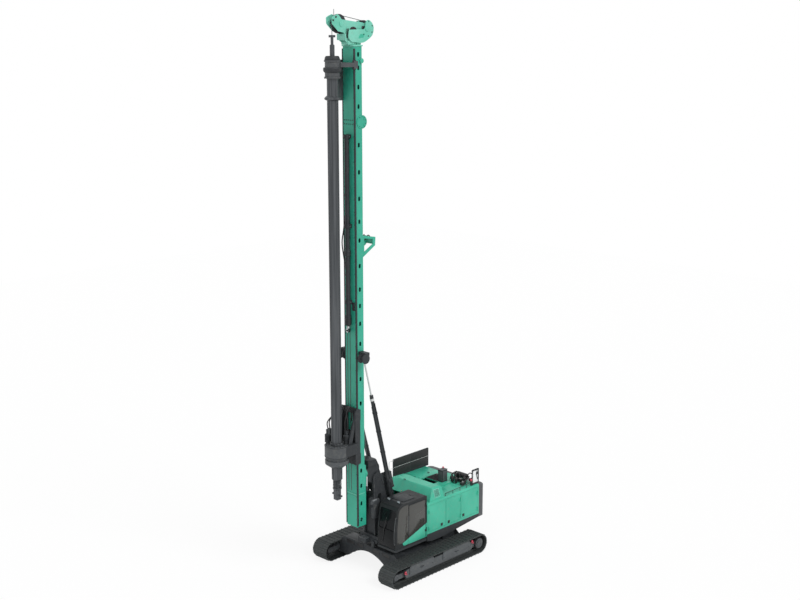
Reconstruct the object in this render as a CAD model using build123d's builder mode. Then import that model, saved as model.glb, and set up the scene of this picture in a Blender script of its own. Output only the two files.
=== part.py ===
"""Rotary piling rig: crawler undercarriage, slewing upper body, raking mast,
rotary drive on a carriage and a telescopic drill bar.

Frame: millimetres, +Z up, origin on the slewing axis at ground level.
The mast stands at the front, towards -Y. The cab is on the machine's left, +X.
"""
import os
from math import cos, pi, sin

from build123d import *

os.makedirs("parts", exist_ok=True)

# Clearances
run_gap = 0.8        # shaft in its bearing
slide_gap = 8.0      # carriage claw to rail, door to its frame
seat_gap = 0.3       # curved pieces that rest on each other

# Door hinges: a pin on the frame's lug, a knuckle on the door
pin_radius, pin_length, knuckle_radius, knuckle_length = 10.0, 160.0, 17.0, 80.0
hinge_stand, hinge_inset, leaf_length = 22.0, 5.0, 70.0

# Crawlers
track_gauge = 3650.0
track_length = 5400.0
track_height = 800.0
shoe_width = 750.0
shoe_count = 56
shoe_thickness = 30.0
grouser_height = 25.0
grouser_width = 26.0
shoe_split = 14.0
chain_width = 230.0
chain_depth = 80.0
frame_half_width = 200.0
frame_bottom, frame_top = 290.0, 560.0
roller_radius = 95.0
roller_count, roller_pitch = 9, 410.0
fork_thickness, cover_thickness = 40.0, 90.0

# Centre frame and slewing ring
body_top = 860.0
body_half_length = 1450.0
waist_radius, waist_offset = 1500.0, 2350.0
ring_radius, ring_bore = 720.0, 520.0
ring_top = 1000.0
slew_gap = 5.0

# Upper body
deck_bottom = 1150.0
upper_half_width = 1500.0
house_front, house_rear = -55.0, 2970.0
house_inner = 620.0
house_bottom, house_top = 1300.0, 2550.0
house_wall = 30.0
tongue_half_width, tongue_front, tongue_top = 500.0, -1750.0, 1400.0
tail_bottom, tail_top, tail_rear = 1160.0, 2500.0, 3350.0
sill_inner, sill_bottom = 1200.0, 960.0
duct_top, duct_front, duct_rear = 3000.0, 130.0, 960.0
guard_front, guard_length, guard_height = 1070.0, 2080.0, 770.0

# Cab
cab_inner, cab_outer = 520.0, 1480.0
cab_front, cab_rear = -1770.0, -65.0
cab_roof = 2900.0
cab_wall, cab_corner = 50.0, 45.0
door_y, door_z, door_length, door_height = -590.0, 2030.0, 960.0, 1500.0
pane, pane_corner = 8.0, 60.0

# Mast
mast_half_width = 270.0
mast_front, mast_rear, foot_rear = -2610.0, -2210.0, -2140.0
mast_wall = 20.0
mast_bottom, foot_joint, pad_top, top_joint, mast_top = 1990.0, 3370.0, 4420.0, 17200.0, 19830.0
rail_width, rail_front, rail_rear = 45.0, -2620.0, -2560.0
rail_bottom, rail_top = 2050.0, 19750.0
lobe_y, lobe_radius = -2235.0, 240.0
bar_axis = -3363.0

# Rake pivot, side-tilt journal and stay cylinders
pivot_y, pivot_z = -1565.0, 3700.0
boss_radius, pivot_radius = 220.0, 110.0
cheek_inner, cheek_outer = 240.0, 300.0
cap_radius, cap_height = 60.0, 40.0
journal_z, journal_radius = 3950.0, 290.0
journal_pin, journal_depth = 120.0, 180.0
face_y = foot_rear + 85.0
foot_x, foot_y, foot_z = 395.0, -800.0, 2450.0
foot_lug, foot_lug_radius, foot_pin, lug_thickness = 115.0, 48.0, 30.0, 30.0
eye_x, eye_y, eye_z = 530.0, -2460.0, 8620.0
barrel_radius, gland_radius, rod_radius, eye_radius = 85.0, 70.0, 30.0, 70.0
barrel_share, gland_share, fork_depth, fork_pin = 0.68, 0.757, 130.0, 28.0
eye_half_width, ear_gap, ear_radius = 45.0, 55.0, 185.0
winch_y, winch_z, drum_radius = -245.0, 1760.0, 200.0

# Rotary, carriage and drill bar
bar_radius, bar_wall = 200.0, 18.0
inner_radius = 85.0
bar_bottom, bar_top = 4250.0, 19370.0
stub_bottom, stub_side = 3270.0, 200.0
carriage_bottom, carriage_top = 4500.0, 6700.0
ring_bottom, ring_drive_top, ring_drive_radius = 4970.0, 5420.0, 450.0
sleeve_radius, sleeve_gap = 300.0, 20.0
guide_bottom, guide_top, guide_drum = 17950.0, 19370.0, 620.0

claw_inner = mast_half_width + rail_width + slide_gap
claw_outer = claw_inner + 60.0
hook_depth = 52.0
claw_rear = rail_rear + slide_gap + hook_depth
claw_front = rail_front - slide_gap - hook_depth


def hinge_frame(face_x, sign, axis_y, towards, heights):
    """Pins and their lugs on the fixed side of a hinge; towards is the side the lug lies on."""
    for z in heights:
        with Locations((face_x + sign * hinge_stand, axis_y, z)):
            Cylinder(pin_radius, pin_length)
        with Locations((face_x + sign * hinge_stand / 2, axis_y + towards * 12, z + 55)):
            Box(hinge_stand, 24, 50)


def hinge_leaf(face_x, sign, axis_y, towards, heights):
    """Knuckles and their leaves on the door; towards points from the axis to the door."""
    for z in heights:
        with Locations((face_x + sign * hinge_stand, axis_y, z - 20)):
            Cylinder(knuckle_radius, knuckle_length)
        leaf = hinge_stand - knuckle_radius + 8
        with Locations((face_x + sign * leaf / 2, axis_y + towards * leaf_length / 2, z - 20)):
            Box(leaf, leaf_length, knuckle_length)
        with Locations((face_x + sign * hinge_stand, axis_y, z - 20)):
            Cylinder(pin_radius + run_gap, knuckle_length + 10, mode=Mode.SUBTRACT)


def save(piece, name):
    """Label a finished piece and write it."""
    piece.label = name
    export_step(piece, f"parts/{name}.step")


# Track belts: every shoe is a flat plate with one grouser in the loop's outline
arc_y = track_length / 2 - track_height / 2
axle_z = track_height / 2
plate_radius = track_height / 2 - grouser_height
shoe_inner = plate_radius - shoe_thickness
chain_inner = shoe_inner - chain_depth
straight = 2 * arc_y
loop_length = 2 * straight + 2 * pi * plate_radius


def on_loop(s):
    """Point and outward normal of the shoe path at distance s from the rear bottom tangent."""
    s = s % loop_length
    arc = pi * plate_radius
    if s < straight:
        return (arc_y - s, axle_z - plate_radius), (0.0, -1.0)
    if s < straight + arc:
        a = -pi / 2 - (s - straight) / plate_radius
        return (-arc_y + plate_radius * cos(a), axle_z + plate_radius * sin(a)), (cos(a), sin(a))
    if s < 2 * straight + arc:
        return (-arc_y + s - straight - arc, axle_z + plate_radius), (0.0, 1.0)
    a = pi / 2 - (s - 2 * straight - arc) / plate_radius
    return (arc_y + plate_radius * cos(a), axle_z + plate_radius * sin(a)), (cos(a), sin(a))


def shoe_outline():
    """Corners of all shoes in turn, each with its grouser at the middle."""
    pitch = loop_length / shoe_count
    half, rib = pitch / 2 - shoe_split / 2, grouser_width / 2
    # columns: distance along the shoe, height above the plate
    shoe = (
        (-half, -shoe_thickness * 0.8), (-half, 0), (-rib, 0), (-rib * 0.6, grouser_height),
        (rib * 0.6, grouser_height), (rib, 0), (half, 0), (half, -shoe_thickness * 0.8),
    )
    points = []
    for i in range(shoe_count):
        (y, z), (ny, nz) = on_loop((i + 0.5) * pitch)
        for along, out in shoe:
            points.append((y - along * -nz + out * ny, z - along * ny + out * nz))
    return points


for side, sign in (("left", 1), ("right", -1)):
    centre_x = sign * track_gauge / 2
    with BuildPart() as belt:
        with BuildSketch(Plane.YZ.offset(centre_x - shoe_width / 2)):
            with BuildLine():
                Polyline(*shoe_outline(), close=True)
            make_face()
            with Locations((0, axle_z)):
                SlotCenterToCenter(straight, 2 * shoe_inner, mode=Mode.SUBTRACT)
        extrude(amount=shoe_width)
        with BuildSketch(Plane.YZ.offset(centre_x - chain_width / 2)):
            with Locations((0, axle_z)):
                SlotCenterToCenter(straight, 2 * shoe_inner + 1)
                SlotCenterToCenter(straight, 2 * chain_inner, mode=Mode.SUBTRACT)
        extrude(amount=chain_width)
    save(belt.part, f"track_belt_{side}")

    # Track frame with its fork, idler, drive wheel, hub, rollers and outer cover
    wheel_radius = chain_inner - seat_gap
    roller_z = axle_z - chain_inner + seat_gap + roller_radius
    with BuildPart() as frame:
        with BuildSketch(Plane.YZ.offset(centre_x - frame_half_width)):
            with BuildLine():
                Polyline((-1900, frame_bottom + 60), (-1750, frame_bottom), (1750, frame_bottom),
                         (1900, frame_bottom + 60), (1900, frame_top - 60), (1750, frame_top),
                         (-1750, frame_top), (-1900, frame_top - 60), close=True)
            make_face()
        extrude(amount=2 * frame_half_width)
        for cheek in (-frame_half_width, frame_half_width - fork_thickness):
            with BuildSketch(Plane.YZ.offset(centre_x + cheek)):
                with Locations((0, axle_z)):
                    SlotCenterToCenter(straight, 190)
                with Locations((0, roller_z + 40)):
                    Rectangle(3560, 150)
            extrude(amount=fork_thickness)
        with Locations((centre_x, -arc_y, axle_z), (centre_x, arc_y, axle_z)):
            Cylinder(wheel_radius, 110, rotation=(0, 90, 0))
            Cylinder(90, 2 * frame_half_width, rotation=(0, 90, 0))
        with Locations((centre_x + sign * 230, arc_y, axle_z)):
            Cylinder(170, 180, rotation=(0, 90, 0))
        for i in range(roller_count):
            with Locations((centre_x, (i - (roller_count - 1) / 2) * roller_pitch, roller_z)):
                Cylinder(roller_radius, 200, rotation=(0, 90, 0))
                Cylinder(34, 2 * frame_half_width + 20, rotation=(0, 90, 0))
        cover_x = centre_x + sign * (frame_half_width + cover_thickness / 2)
        with BuildSketch(Plane.YZ.offset(cover_x - cover_thickness / 2)):
            with Locations((0, axle_z + 40)):
                SlotCenterToCenter(3500, 330)
        extrude(amount=cover_thickness)
    save(frame.part, f"track_frame_{side}")

# Centre frame: an arch between the track frames, waisted in plan
arm_end = track_gauge / 2 - frame_half_width
with BuildPart() as carbody:
    with BuildSketch(Plane.XZ.offset(body_half_length)):
        with BuildLine():
            Polyline((arm_end, frame_bottom + 20), (arm_end, frame_top), (900, body_top),
                     (-900, body_top), (-arm_end, frame_top), (-arm_end, frame_bottom + 20))
            ThreePointArc((-arm_end, frame_bottom + 20), (0, frame_bottom + 180),
                          (arm_end, frame_bottom + 20))
        make_face()
    extrude(amount=-2 * body_half_length)
    with BuildSketch(Plane.XY):
        with Locations((0, waist_offset), (0, -waist_offset)):
            Circle(waist_radius)
    extrude(amount=body_top + 10, mode=Mode.SUBTRACT)
    with BuildSketch(Plane.XY.offset(body_top)):
        Circle(ring_radius)
        Circle(ring_bore, mode=Mode.SUBTRACT)
    extrude(amount=ring_top - body_top)
save(carbody.part, "carbody")

# Turntable frame: slewing race, front tongue, deck slab with its rising skirt
with BuildPart() as turntable:
    with BuildSketch(Plane.XY.offset(ring_top + slew_gap)):
        Circle(ring_radius + 30)
        Circle(ring_bore, mode=Mode.SUBTRACT)
    extrude(amount=deck_bottom - ring_top - slew_gap)
    with BuildSketch(Plane.XY.offset(body_top + 20)):
        Circle(ring_bore - run_gap)
        Circle(ring_bore - 80, mode=Mode.SUBTRACT)
    extrude(amount=deck_bottom - body_top - 20)
    with BuildSketch(Plane.YZ.offset(-upper_half_width)):
        with BuildLine():
            Polyline((house_front, deck_bottom), (1900, deck_bottom), (house_rear, 1225),
                     (house_rear, house_bottom), (house_front, house_bottom), close=True)
        make_face()
    extrude(amount=2 * upper_half_width)
    for x0 in (-upper_half_width, sill_inner):
        with BuildSketch(Plane.YZ.offset(x0)):
            with BuildLine():
                Polyline((house_front, house_bottom), (house_front, sill_bottom + 60), (200, sill_bottom),
                         (900, sill_bottom), (house_rear, tail_bottom), (house_rear, house_bottom),
                         close=True)
            make_face()
        extrude(amount=upper_half_width - sill_inner)
    with BuildSketch(Plane.XY.offset(ring_top + slew_gap)):
        with Locations((0, tongue_front / 2)):
            Rectangle(2 * tongue_half_width + 2 * seat_gap, -tongue_front)
    extrude(amount=tongue_top - deck_bottom + 10, mode=Mode.SUBTRACT)
    with BuildSketch(Plane.XY.offset(deck_bottom)):
        with Locations((0, (tongue_front + house_front) / 2)):
            Rectangle(2 * tongue_half_width, house_front - tongue_front - 2 * seat_gap)
    extrude(amount=tongue_top - deck_bottom)
save(turntable.part, "turntable_frame")

# Counterweight across the tail, with rounded corners
with BuildPart() as tail:
    with BuildSketch(Plane.XY.offset(tail_bottom)):
        with Locations((0, (house_rear + tail_rear) / 2)):
            Rectangle(2 * upper_half_width, tail_rear - house_rear)
    extrude(amount=tail_top - tail_bottom)
    fillet(tail.edges().filter_by(Axis.Z).group_by(Axis.Y)[-1], 220)
    fillet(tail.faces().sort_by(Axis.Z)[-1].edges().filter_by(Axis.X).sort_by(Axis.Y)[-1:], 60)
save(tail.part, "counterweight")

# Engine block at the rear of the bay
with BuildPart() as engine:
    with Locations((0, 2150, house_bottom)):
        Box(1100, 1300, 1000, align=(Align.CENTER, Align.CENTER, Align.MIN))
save(engine.part, "engine_block")

# Side housings and their doors
# columns: name, side sign, front edge, rear edge, hinge at the rear
door_table = (
    ("left_door_front", 1, 30, 985, False),
    ("left_door_middle", 1, 1025, 1860, True),
    ("left_door_rear", 1, 1900, 2880, True),
    ("right_door", -1, 1025, 1860, True),
)
door_bottom, door_top = house_bottom + 70, house_top - 110
hinge_heights = (door_bottom + 150, door_top - 250)
for side, sign in (("left", 1), ("right", -1)):
    with BuildPart() as house:
        with BuildSketch(Plane.XZ.offset(-house_rear)):
            with BuildLine():
                Polyline((sign * house_inner, house_bottom), (sign * upper_half_width, house_bottom),
                         (sign * upper_half_width, house_top - 40),
                         (sign * (upper_half_width - 40), house_top),
                         (sign * house_inner, house_top), close=True)
            make_face()
        extrude(amount=house_rear - house_front)
        with Locations((sign * (house_inner + upper_half_width) / 2, (house_front + house_rear) / 2,
                        (house_bottom + house_top) / 2)):
            Box(upper_half_width - house_inner - 2 * house_wall, house_rear - house_front - 2 * house_wall,
                house_top - house_bottom - 2 * house_wall, mode=Mode.SUBTRACT)
        for name, door_sign, front, rear, hinge_rear in door_table:
            if door_sign == sign:
                with Locations((sign * upper_half_width, (front + rear) / 2, (door_bottom + door_top) / 2)):
                    Box(3 * house_wall, rear - front, door_top - door_bottom, mode=Mode.SUBTRACT)
        for name, door_sign, front, rear, hinge_rear in door_table:
            if door_sign == sign:
                towards = 1 if hinge_rear else -1
                axis_y = rear - hinge_inset if hinge_rear else front + hinge_inset
                hinge_frame(sign * upper_half_width, sign, axis_y, towards, hinge_heights)
    save(house.part, f"{side}_housing")

for name, sign, front, rear, hinge_rear in door_table:
    with BuildPart() as door:
        with Locations((sign * (upper_half_width - house_wall / 2), (front + rear) / 2,
                        (door_bottom + door_top) / 2)):
            Box(house_wall, rear - front - 2 * slide_gap, door_top - door_bottom - 2 * slide_gap)
        towards = -1 if hinge_rear else 1
        axis_y = rear - hinge_inset if hinge_rear else front + hinge_inset
        hinge_leaf(sign * upper_half_width, sign, axis_y, towards, hinge_heights)
    save(door.part, name)

# Cab: hollow shell with its windows cut
# columns: name, wall, middle y, middle z, length, height
window_table = (
    ("door_window", cab_outer - cab_wall, door_y, 2110, 840, 1180),
    ("front_side_window", cab_outer - cab_wall, -1370, 2060, 420, 1180),
    ("inner_window", cab_inner, -900, 2250, 1200, 800),
)
cab_hinge_y = door_y + door_length / 2 - hinge_inset
cab_hinge_heights = (door_z - 500, door_z + 500)
screen_z, screen_height = 2030.0, 1280.0
screen_half_width = (cab_outer - cab_inner) / 2 - cab_wall - 10
cab_middle = (cab_inner + cab_outer) / 2
# side of the cab, with the raked windscreen and the sloped roof edge
cab_corners = ((cab_rear, deck_bottom), (cab_rear, cab_roof), (-1350, cab_roof), (-1560, cab_roof - 70),
               (-1660, cab_roof - 210), (cab_front, 1900), (cab_front, deck_bottom))
with BuildPart() as cab:
    with BuildSketch(Plane.YZ.offset(cab_inner)) as cab_side:
        with BuildLine():
            Polyline(*cab_corners, close=True)
        make_face()
        fillet(cab_side.vertices(), cab_corner)
    extrude(amount=cab_outer - cab_inner)
    with BuildSketch(Plane.YZ.offset(cab_inner + cab_wall)):
        with BuildLine():
            Polyline(*cab_corners, close=True)
        make_face()
        offset(amount=-cab_wall, mode=Mode.REPLACE)
    extrude(amount=cab_outer - cab_inner - 2 * cab_wall, mode=Mode.SUBTRACT)
    with BuildSketch(Plane.YZ.offset(cab_outer - cab_wall)):
        with Locations((door_y, door_z)):
            RectangleRounded(door_length, door_height, pane_corner + slide_gap)
    extrude(amount=cab_wall, mode=Mode.SUBTRACT)
    for name, wall_x, y, z, length, height in window_table[1:]:
        with BuildSketch(Plane.YZ.offset(wall_x)):
            with Locations((y, z)):
                RectangleRounded(length, height, pane_corner)
        extrude(amount=cab_wall, mode=Mode.SUBTRACT)
    with BuildSketch(Plane.XZ.offset(-cab_front)):
        with Locations((cab_middle, screen_z)):
            RectangleRounded(2 * screen_half_width, screen_height, 2 * pane_corner)
    extrude(amount=-300, mode=Mode.SUBTRACT)
    hinge_frame(cab_outer, 1, cab_hinge_y, 1, cab_hinge_heights)
save(cab.part, "cab_shell")

with BuildPart() as cab_door:
    with BuildSketch(Plane.YZ.offset(cab_outer - cab_wall)):
        with Locations((door_y, door_z)):
            RectangleRounded(door_length - 2 * slide_gap, door_height - 2 * slide_gap, pane_corner)
        with Locations(window_table[0][2:4]):
            RectangleRounded(*window_table[0][4:6], pane_corner, mode=Mode.SUBTRACT)
    extrude(amount=cab_wall)
    hinge_leaf(cab_outer, 1, cab_hinge_y, -1, cab_hinge_heights)
save(cab_door.part, "cab_door_frame")

with BuildPart() as door_glass:
    with BuildSketch(Plane.YZ.offset(cab_outer - cab_wall / 2)):
        with Locations(window_table[0][2:4]):
            RectangleRounded(*window_table[0][4:6], pane_corner)
    extrude(amount=pane)
save(door_glass.part, "cab_door_glass")

with BuildPart() as cab_glass:
    with BuildSketch(Plane.YZ.offset(cab_middle - screen_half_width)):
        with BuildLine():
            Polyline((cab_front + 20, screen_z - screen_height / 2), (cab_front + 20, 1902),
                     (-1650, screen_z + screen_height / 2))
            offset(amount=pane, side=Side.RIGHT)
        make_face()
    extrude(amount=2 * screen_half_width)
    with BuildSketch(Plane.XZ.offset(-cab_front)):
        with Locations((cab_middle, screen_z)):
            RectangleRounded(2 * screen_half_width, screen_height, 2 * pane_corner)
    extrude(amount=-300, mode=Mode.INTERSECT)
    for name, wall_x, y, z, length, height in window_table[1:]:
        with BuildSketch(Plane.YZ.offset(wall_x + cab_wall / 2)):
            with Locations((y, z)):
                RectangleRounded(length, height, pane_corner)
        extrude(amount=pane)
save(cab_glass.part, "cab_glass")

with BuildPart() as seat:
    with Locations((1000, -700, deck_bottom + cab_wall)):
        Box(500, 500, 450, align=(Align.CENTER, Align.CENTER, Align.MIN))
    with Locations((1000, -500, deck_bottom + cab_wall + 450)):
        Box(480, 120, 650, align=(Align.CENTER, Align.CENTER, Align.MIN))
save(seat.part, "cab_seat")

# Hood: a raised duct that curves down behind the cab, and the deck over the bay with its recess
with BuildPart() as hood:
    with BuildSketch(Plane.XZ.offset(-duct_rear)) as across:
        with BuildLine():
            Polyline((-1400, house_top), (-1400, house_top + 80), (-760, duct_top - 60),
                     (-560, duct_top - 20), (1290, duct_top), (1440, house_top), close=True)
        make_face()
        fillet(across.vertices().sort_by(Axis.Y)[-2:], 110)
    extrude(amount=duct_rear - duct_front)
    with BuildSketch(Plane.YZ.offset(-1500)) as profile:
        with BuildLine():
            Polyline((duct_front, house_top), (duct_front + 300, duct_top), (duct_rear - 20, duct_top),
                     (duct_rear, house_top), close=True)
        make_face()
        fillet(profile.vertices().sort_by(Axis.Y)[-2:], 120)
    extrude(amount=3000, mode=Mode.INTERSECT)
    with BuildSketch(Plane.YZ.offset(1540)):
        with Locations(((duct_front + duct_rear) / 2 + 60, house_top + 200)):
            RectangleRounded(330, 270, 30)
    extrude(amount=-150, mode=Mode.SUBTRACT)
    with BuildSketch(Plane.XY.offset(house_top)):
        with Locations((0, (duct_rear + house_rear) / 2 - 10)):
            Rectangle(2 * house_inner, house_rear - duct_rear + 20)
        with Locations((-110, 1540)):
            Rectangle(720, 800, mode=Mode.SUBTRACT)
    extrude(amount=40)
save(hood.part, "hood")

# Guard panels along the right edge, a frame at the left rear and the control box on the deck
guard_middle = guard_front + guard_length / 2
with BuildPart() as guard:
    with BuildSketch(Plane.YZ.offset(-upper_half_width + 5)):
        with Locations((guard_middle, house_top + guard_height / 2)):
            RectangleRounded(guard_length, guard_height, 30)
        with Locations((guard_middle, house_top + guard_height / 2 + 35)):
            with GridLocations(guard_length / 2 - 20, 330, 2, 2):
                Rectangle(guard_length / 2 - 70, 290, mode=Mode.SUBTRACT)
    extrude(amount=40)
    with BuildSketch(Plane.YZ.offset(1350)):
        with Locations((2880, house_top + 310)):
            RectangleRounded(400, 620, 30)
            Rectangle(320, 500, mode=Mode.SUBTRACT)
    extrude(amount=40)
    with Locations((295, 2120, house_top + 40)):
        Box(230, 300, 490, align=(Align.CENTER, Align.CENTER, Align.MIN))
save(guard.part, "guard_rail")

# Column that carries the mast's rake pivot and the feet of the stay cylinders
with BuildPart() as column:
    for x0 in (-cheek_outer, cheek_inner):
        with BuildSketch(Plane.YZ.offset(x0)):
            with BuildLine():
                Polyline((-1700, tongue_top), (-1790, pivot_z), (-1355, pivot_z), (-1245, 3400),
                         (-1105, 3000), (foot_y - 160, foot_z + 30),
                         (foot_y + 150, foot_z + 30), (winch_y - 190, winch_z + 230),
                         (winch_y + 160, winch_z + 230), (winch_y + 185, tongue_top), close=True)
            make_face()
            with Locations((pivot_y, pivot_z)):
                Circle(boss_radius)
            with Locations((-1860, 2650)):
                SlotOverall(700, 270, rotation=90)
            with Locations((-1480, 2750)):
                SlotOverall(620, 200, rotation=80, mode=Mode.SUBTRACT)
            with Locations((winch_y, winch_z)):
                Circle(60 + run_gap, mode=Mode.SUBTRACT)
        extrude(amount=cheek_outer - cheek_inner)
    with Locations((0, -1600, tongue_top)):
        Box(2 * cheek_inner, 60, 1700, align=(Align.CENTER, Align.CENTER, Align.MIN))
    with Locations((0, pivot_y, pivot_z)):
        Cylinder(pivot_radius, 2 * cheek_outer + 60, rotation=(0, 90, 0))
    for sign in (-1, 1):
        cap_x = sign * (cheek_outer + cap_height / 2 - 5)
        with Locations((cap_x, pivot_y, pivot_z), (cap_x, -1900, 2660)):
            Cylinder(cap_radius, cap_height, rotation=(0, 90, 0))
save(column.part, "mast_column")

# Feet of the stay cylinders: a base under two lugs, on the outer face of each cheek
with BuildPart() as feet:
    for sign in (-1, 1):
        with Locations((sign * (cheek_outer + foot_x + 60) / 2, foot_y, foot_z - 100)):
            Box(foot_x + 60 - cheek_outer, 2 * foot_lug + lug_thickness, 40)
        for lug in (-foot_lug, foot_lug):
            with BuildSketch(Plane.XZ.offset(-(foot_y + lug) - lug_thickness / 2)):
                with Locations((sign * foot_x, foot_z)):
                    Circle(foot_lug_radius)
                with Locations((sign * (cheek_outer + foot_x + 60) / 2, foot_z - 60)):
                    Rectangle(foot_x + 60 - cheek_outer, 120)
                with Locations((sign * foot_x, foot_z)):
                    Circle(foot_pin + run_gap, mode=Mode.SUBTRACT)
            extrude(amount=lug_thickness)
save(feet.part, "stay_feet")

# Winch drum between the rear ends of the cheeks
with BuildPart() as drum:
    with Locations((0, winch_y, winch_z)):
        Cylinder(drum_radius, 2 * (cheek_inner - slide_gap), rotation=(0, 90, 0))
        Cylinder(60, 2 * cheek_outer + 30, rotation=(0, 90, 0))
save(drum.part, "winch_drum")

# Cardan block: turns on the rake pivot and carries the side-tilt journal
with BuildPart() as cardan:
    with BuildSketch(Plane.YZ.offset(-cheek_inner + slide_gap)):
        with BuildLine():
            Polyline((face_y + 60, journal_z - journal_radius), (pivot_y - 100, pivot_z - 220),
                     (pivot_y + 200, pivot_z), (-1400, 4150), (pivot_y, 4450), (face_y + 60, 4450),
                     close=True)
        make_face()
        with Locations((pivot_y, pivot_z)):
            Circle(225)
    extrude(amount=2 * (cheek_inner - slide_gap))
    with BuildSketch(Plane.XZ.offset(-face_y)):
        with Locations((0, journal_z)):
            Circle(journal_radius)
    extrude(amount=-60)
    with BuildSketch(Plane.YZ.offset(-cheek_outer)):
        with BuildLine():
            Polyline((face_y + 20, 4250), (face_y + 20, 4450), (-1680, 4450), (-1570, 4360), (-1570, 4250),
                     close=True)
        make_face()
    extrude(amount=2 * cheek_outer)
    with Locations((0, pivot_y, pivot_z)):
        Cylinder(pivot_radius + run_gap, 2 * cheek_inner, rotation=(0, 90, 0), mode=Mode.SUBTRACT)
    with BuildSketch(Plane.XZ.offset(-face_y)):
        with Locations((0, journal_z)):
            Circle(journal_pin + run_gap)
    extrude(amount=-(journal_depth + 10), mode=Mode.SUBTRACT)
save(cardan.part, "cardan_block")

# Stay cylinders: gimbal, barrel and rod on each side, drawn along their real lean
for side, sign in (("left", 1), ("right", -1)):
    foot = Vector(sign * foot_x, foot_y, foot_z)
    eye = Vector(sign * eye_x, eye_y, eye_z)
    stay_length = (eye - foot).length
    upward = (eye - foot).normalized()
    across_stay = Vector(upward.Z, 0, -upward.X).normalized()
    along = Plane(origin=foot, x_dir=across_stay, z_dir=upward)
    section_plane = Plane(origin=foot, x_dir=across_stay, z_dir=across_stay.cross(upward))
    barrel_end, gland_end = barrel_share * stay_length, gland_share * stay_length
    with BuildPart() as gimbal:
        with Locations(along):
            Box(70, 140, 90)
            Cylinder(fork_pin, 130, rotation=(0, 90, 0))
        with Locations(foot):
            Cylinder(foot_pin, 2 * foot_lug + lug_thickness, rotation=(90, 0, 0))
    save(gimbal.part, f"stay_gimbal_{side}")
    with BuildPart() as barrel:
        with BuildSketch(section_plane):
            with BuildLine():
                Polyline((0, fork_depth), (barrel_radius, fork_depth), (barrel_radius, barrel_end),
                         (gland_radius, barrel_end + 15), (gland_radius, gland_end),
                         (rod_radius + run_gap, gland_end), (rod_radius + run_gap, fork_depth + 30),
                         (0, fork_depth + 30), close=True)
            make_face()
        revolve(axis=Axis(foot, upward))
        with Locations(along):
            with Locations((-54, 0, 0), (54, 0, 0)):
                Cylinder(66, 22, rotation=(0, 90, 0))
            with Locations((-54, 0, fork_depth / 2 + 10), (54, 0, fork_depth / 2 + 10)):
                Box(22, 132, fork_depth + 20)
            Cylinder(fork_pin + run_gap, 200, rotation=(0, 90, 0), mode=Mode.SUBTRACT)
    save(barrel.part, f"stay_barrel_{side}")
    with BuildPart() as rod:
        with BuildSketch(along.offset(barrel_end - 700)):
            Circle(rod_radius)
        extrude(amount=stay_length - barrel_end + 700)
        with Locations(eye):
            Cylinder(eye_radius, 2 * eye_half_width, rotation=(0, 90, 0))
    save(rod.part, f"stay_rod_{side}")

# Brackets on the mast's sides: two ears under a bridge hold each rod's eye
bridge_bottom, bridge_top = eye_z + eye_radius + 50, eye_z + eye_radius + 150
bridge_front, bridge_rear = claw_rear + 15, claw_rear + 215
ear_reach = eye_half_width + ear_gap
with BuildPart() as brackets:
    for sign in (-1, 1):
        outer = eye_x + ear_reach + lug_thickness
        with Locations((sign * (mast_half_width + outer) / 2, (bridge_front + bridge_rear) / 2,
                        (bridge_bottom + bridge_top) / 2)):
            Box(outer - mast_half_width, bridge_rear - bridge_front, bridge_top - bridge_bottom)
        for x0 in (eye_x - ear_reach - lug_thickness, eye_x + ear_reach):
            with BuildSketch(Plane.YZ.offset(sign * (x0 + lug_thickness / 2) - lug_thickness / 2)):
                with Locations((eye_y, eye_z)):
                    Circle(ear_radius)
                with BuildLine():
                    Polyline((eye_y - eye_radius, eye_z), (eye_y + eye_radius, eye_z),
                             (bridge_rear, bridge_bottom), (bridge_rear, bridge_top),
                             (bridge_front, bridge_top), close=True)
                make_face()
            extrude(amount=lug_thickness)
save(brackets.part, "stay_brackets")

# Mast: three box sections with oval lightening holes; the lower part is deeper
mast_middle = (mast_front + mast_rear) / 2
hole_y = mast_middle + 30
# columns: name, bottom, top, rear face, hole heights
sections = (
    ("mast_foot", mast_bottom, foot_joint, foot_rear, (2250, 2900)),
    ("mast_main", foot_joint, top_joint, mast_rear, (3600, 4200, 6830, 7770, 9110, 9870, 10540, 11150, 12020,
                                                     12960, 13640, 14470, 15420, 16390)),
    ("mast_head", top_joint, mast_top, mast_rear, (17740, 18420, 19090, 19550)),
)
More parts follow.
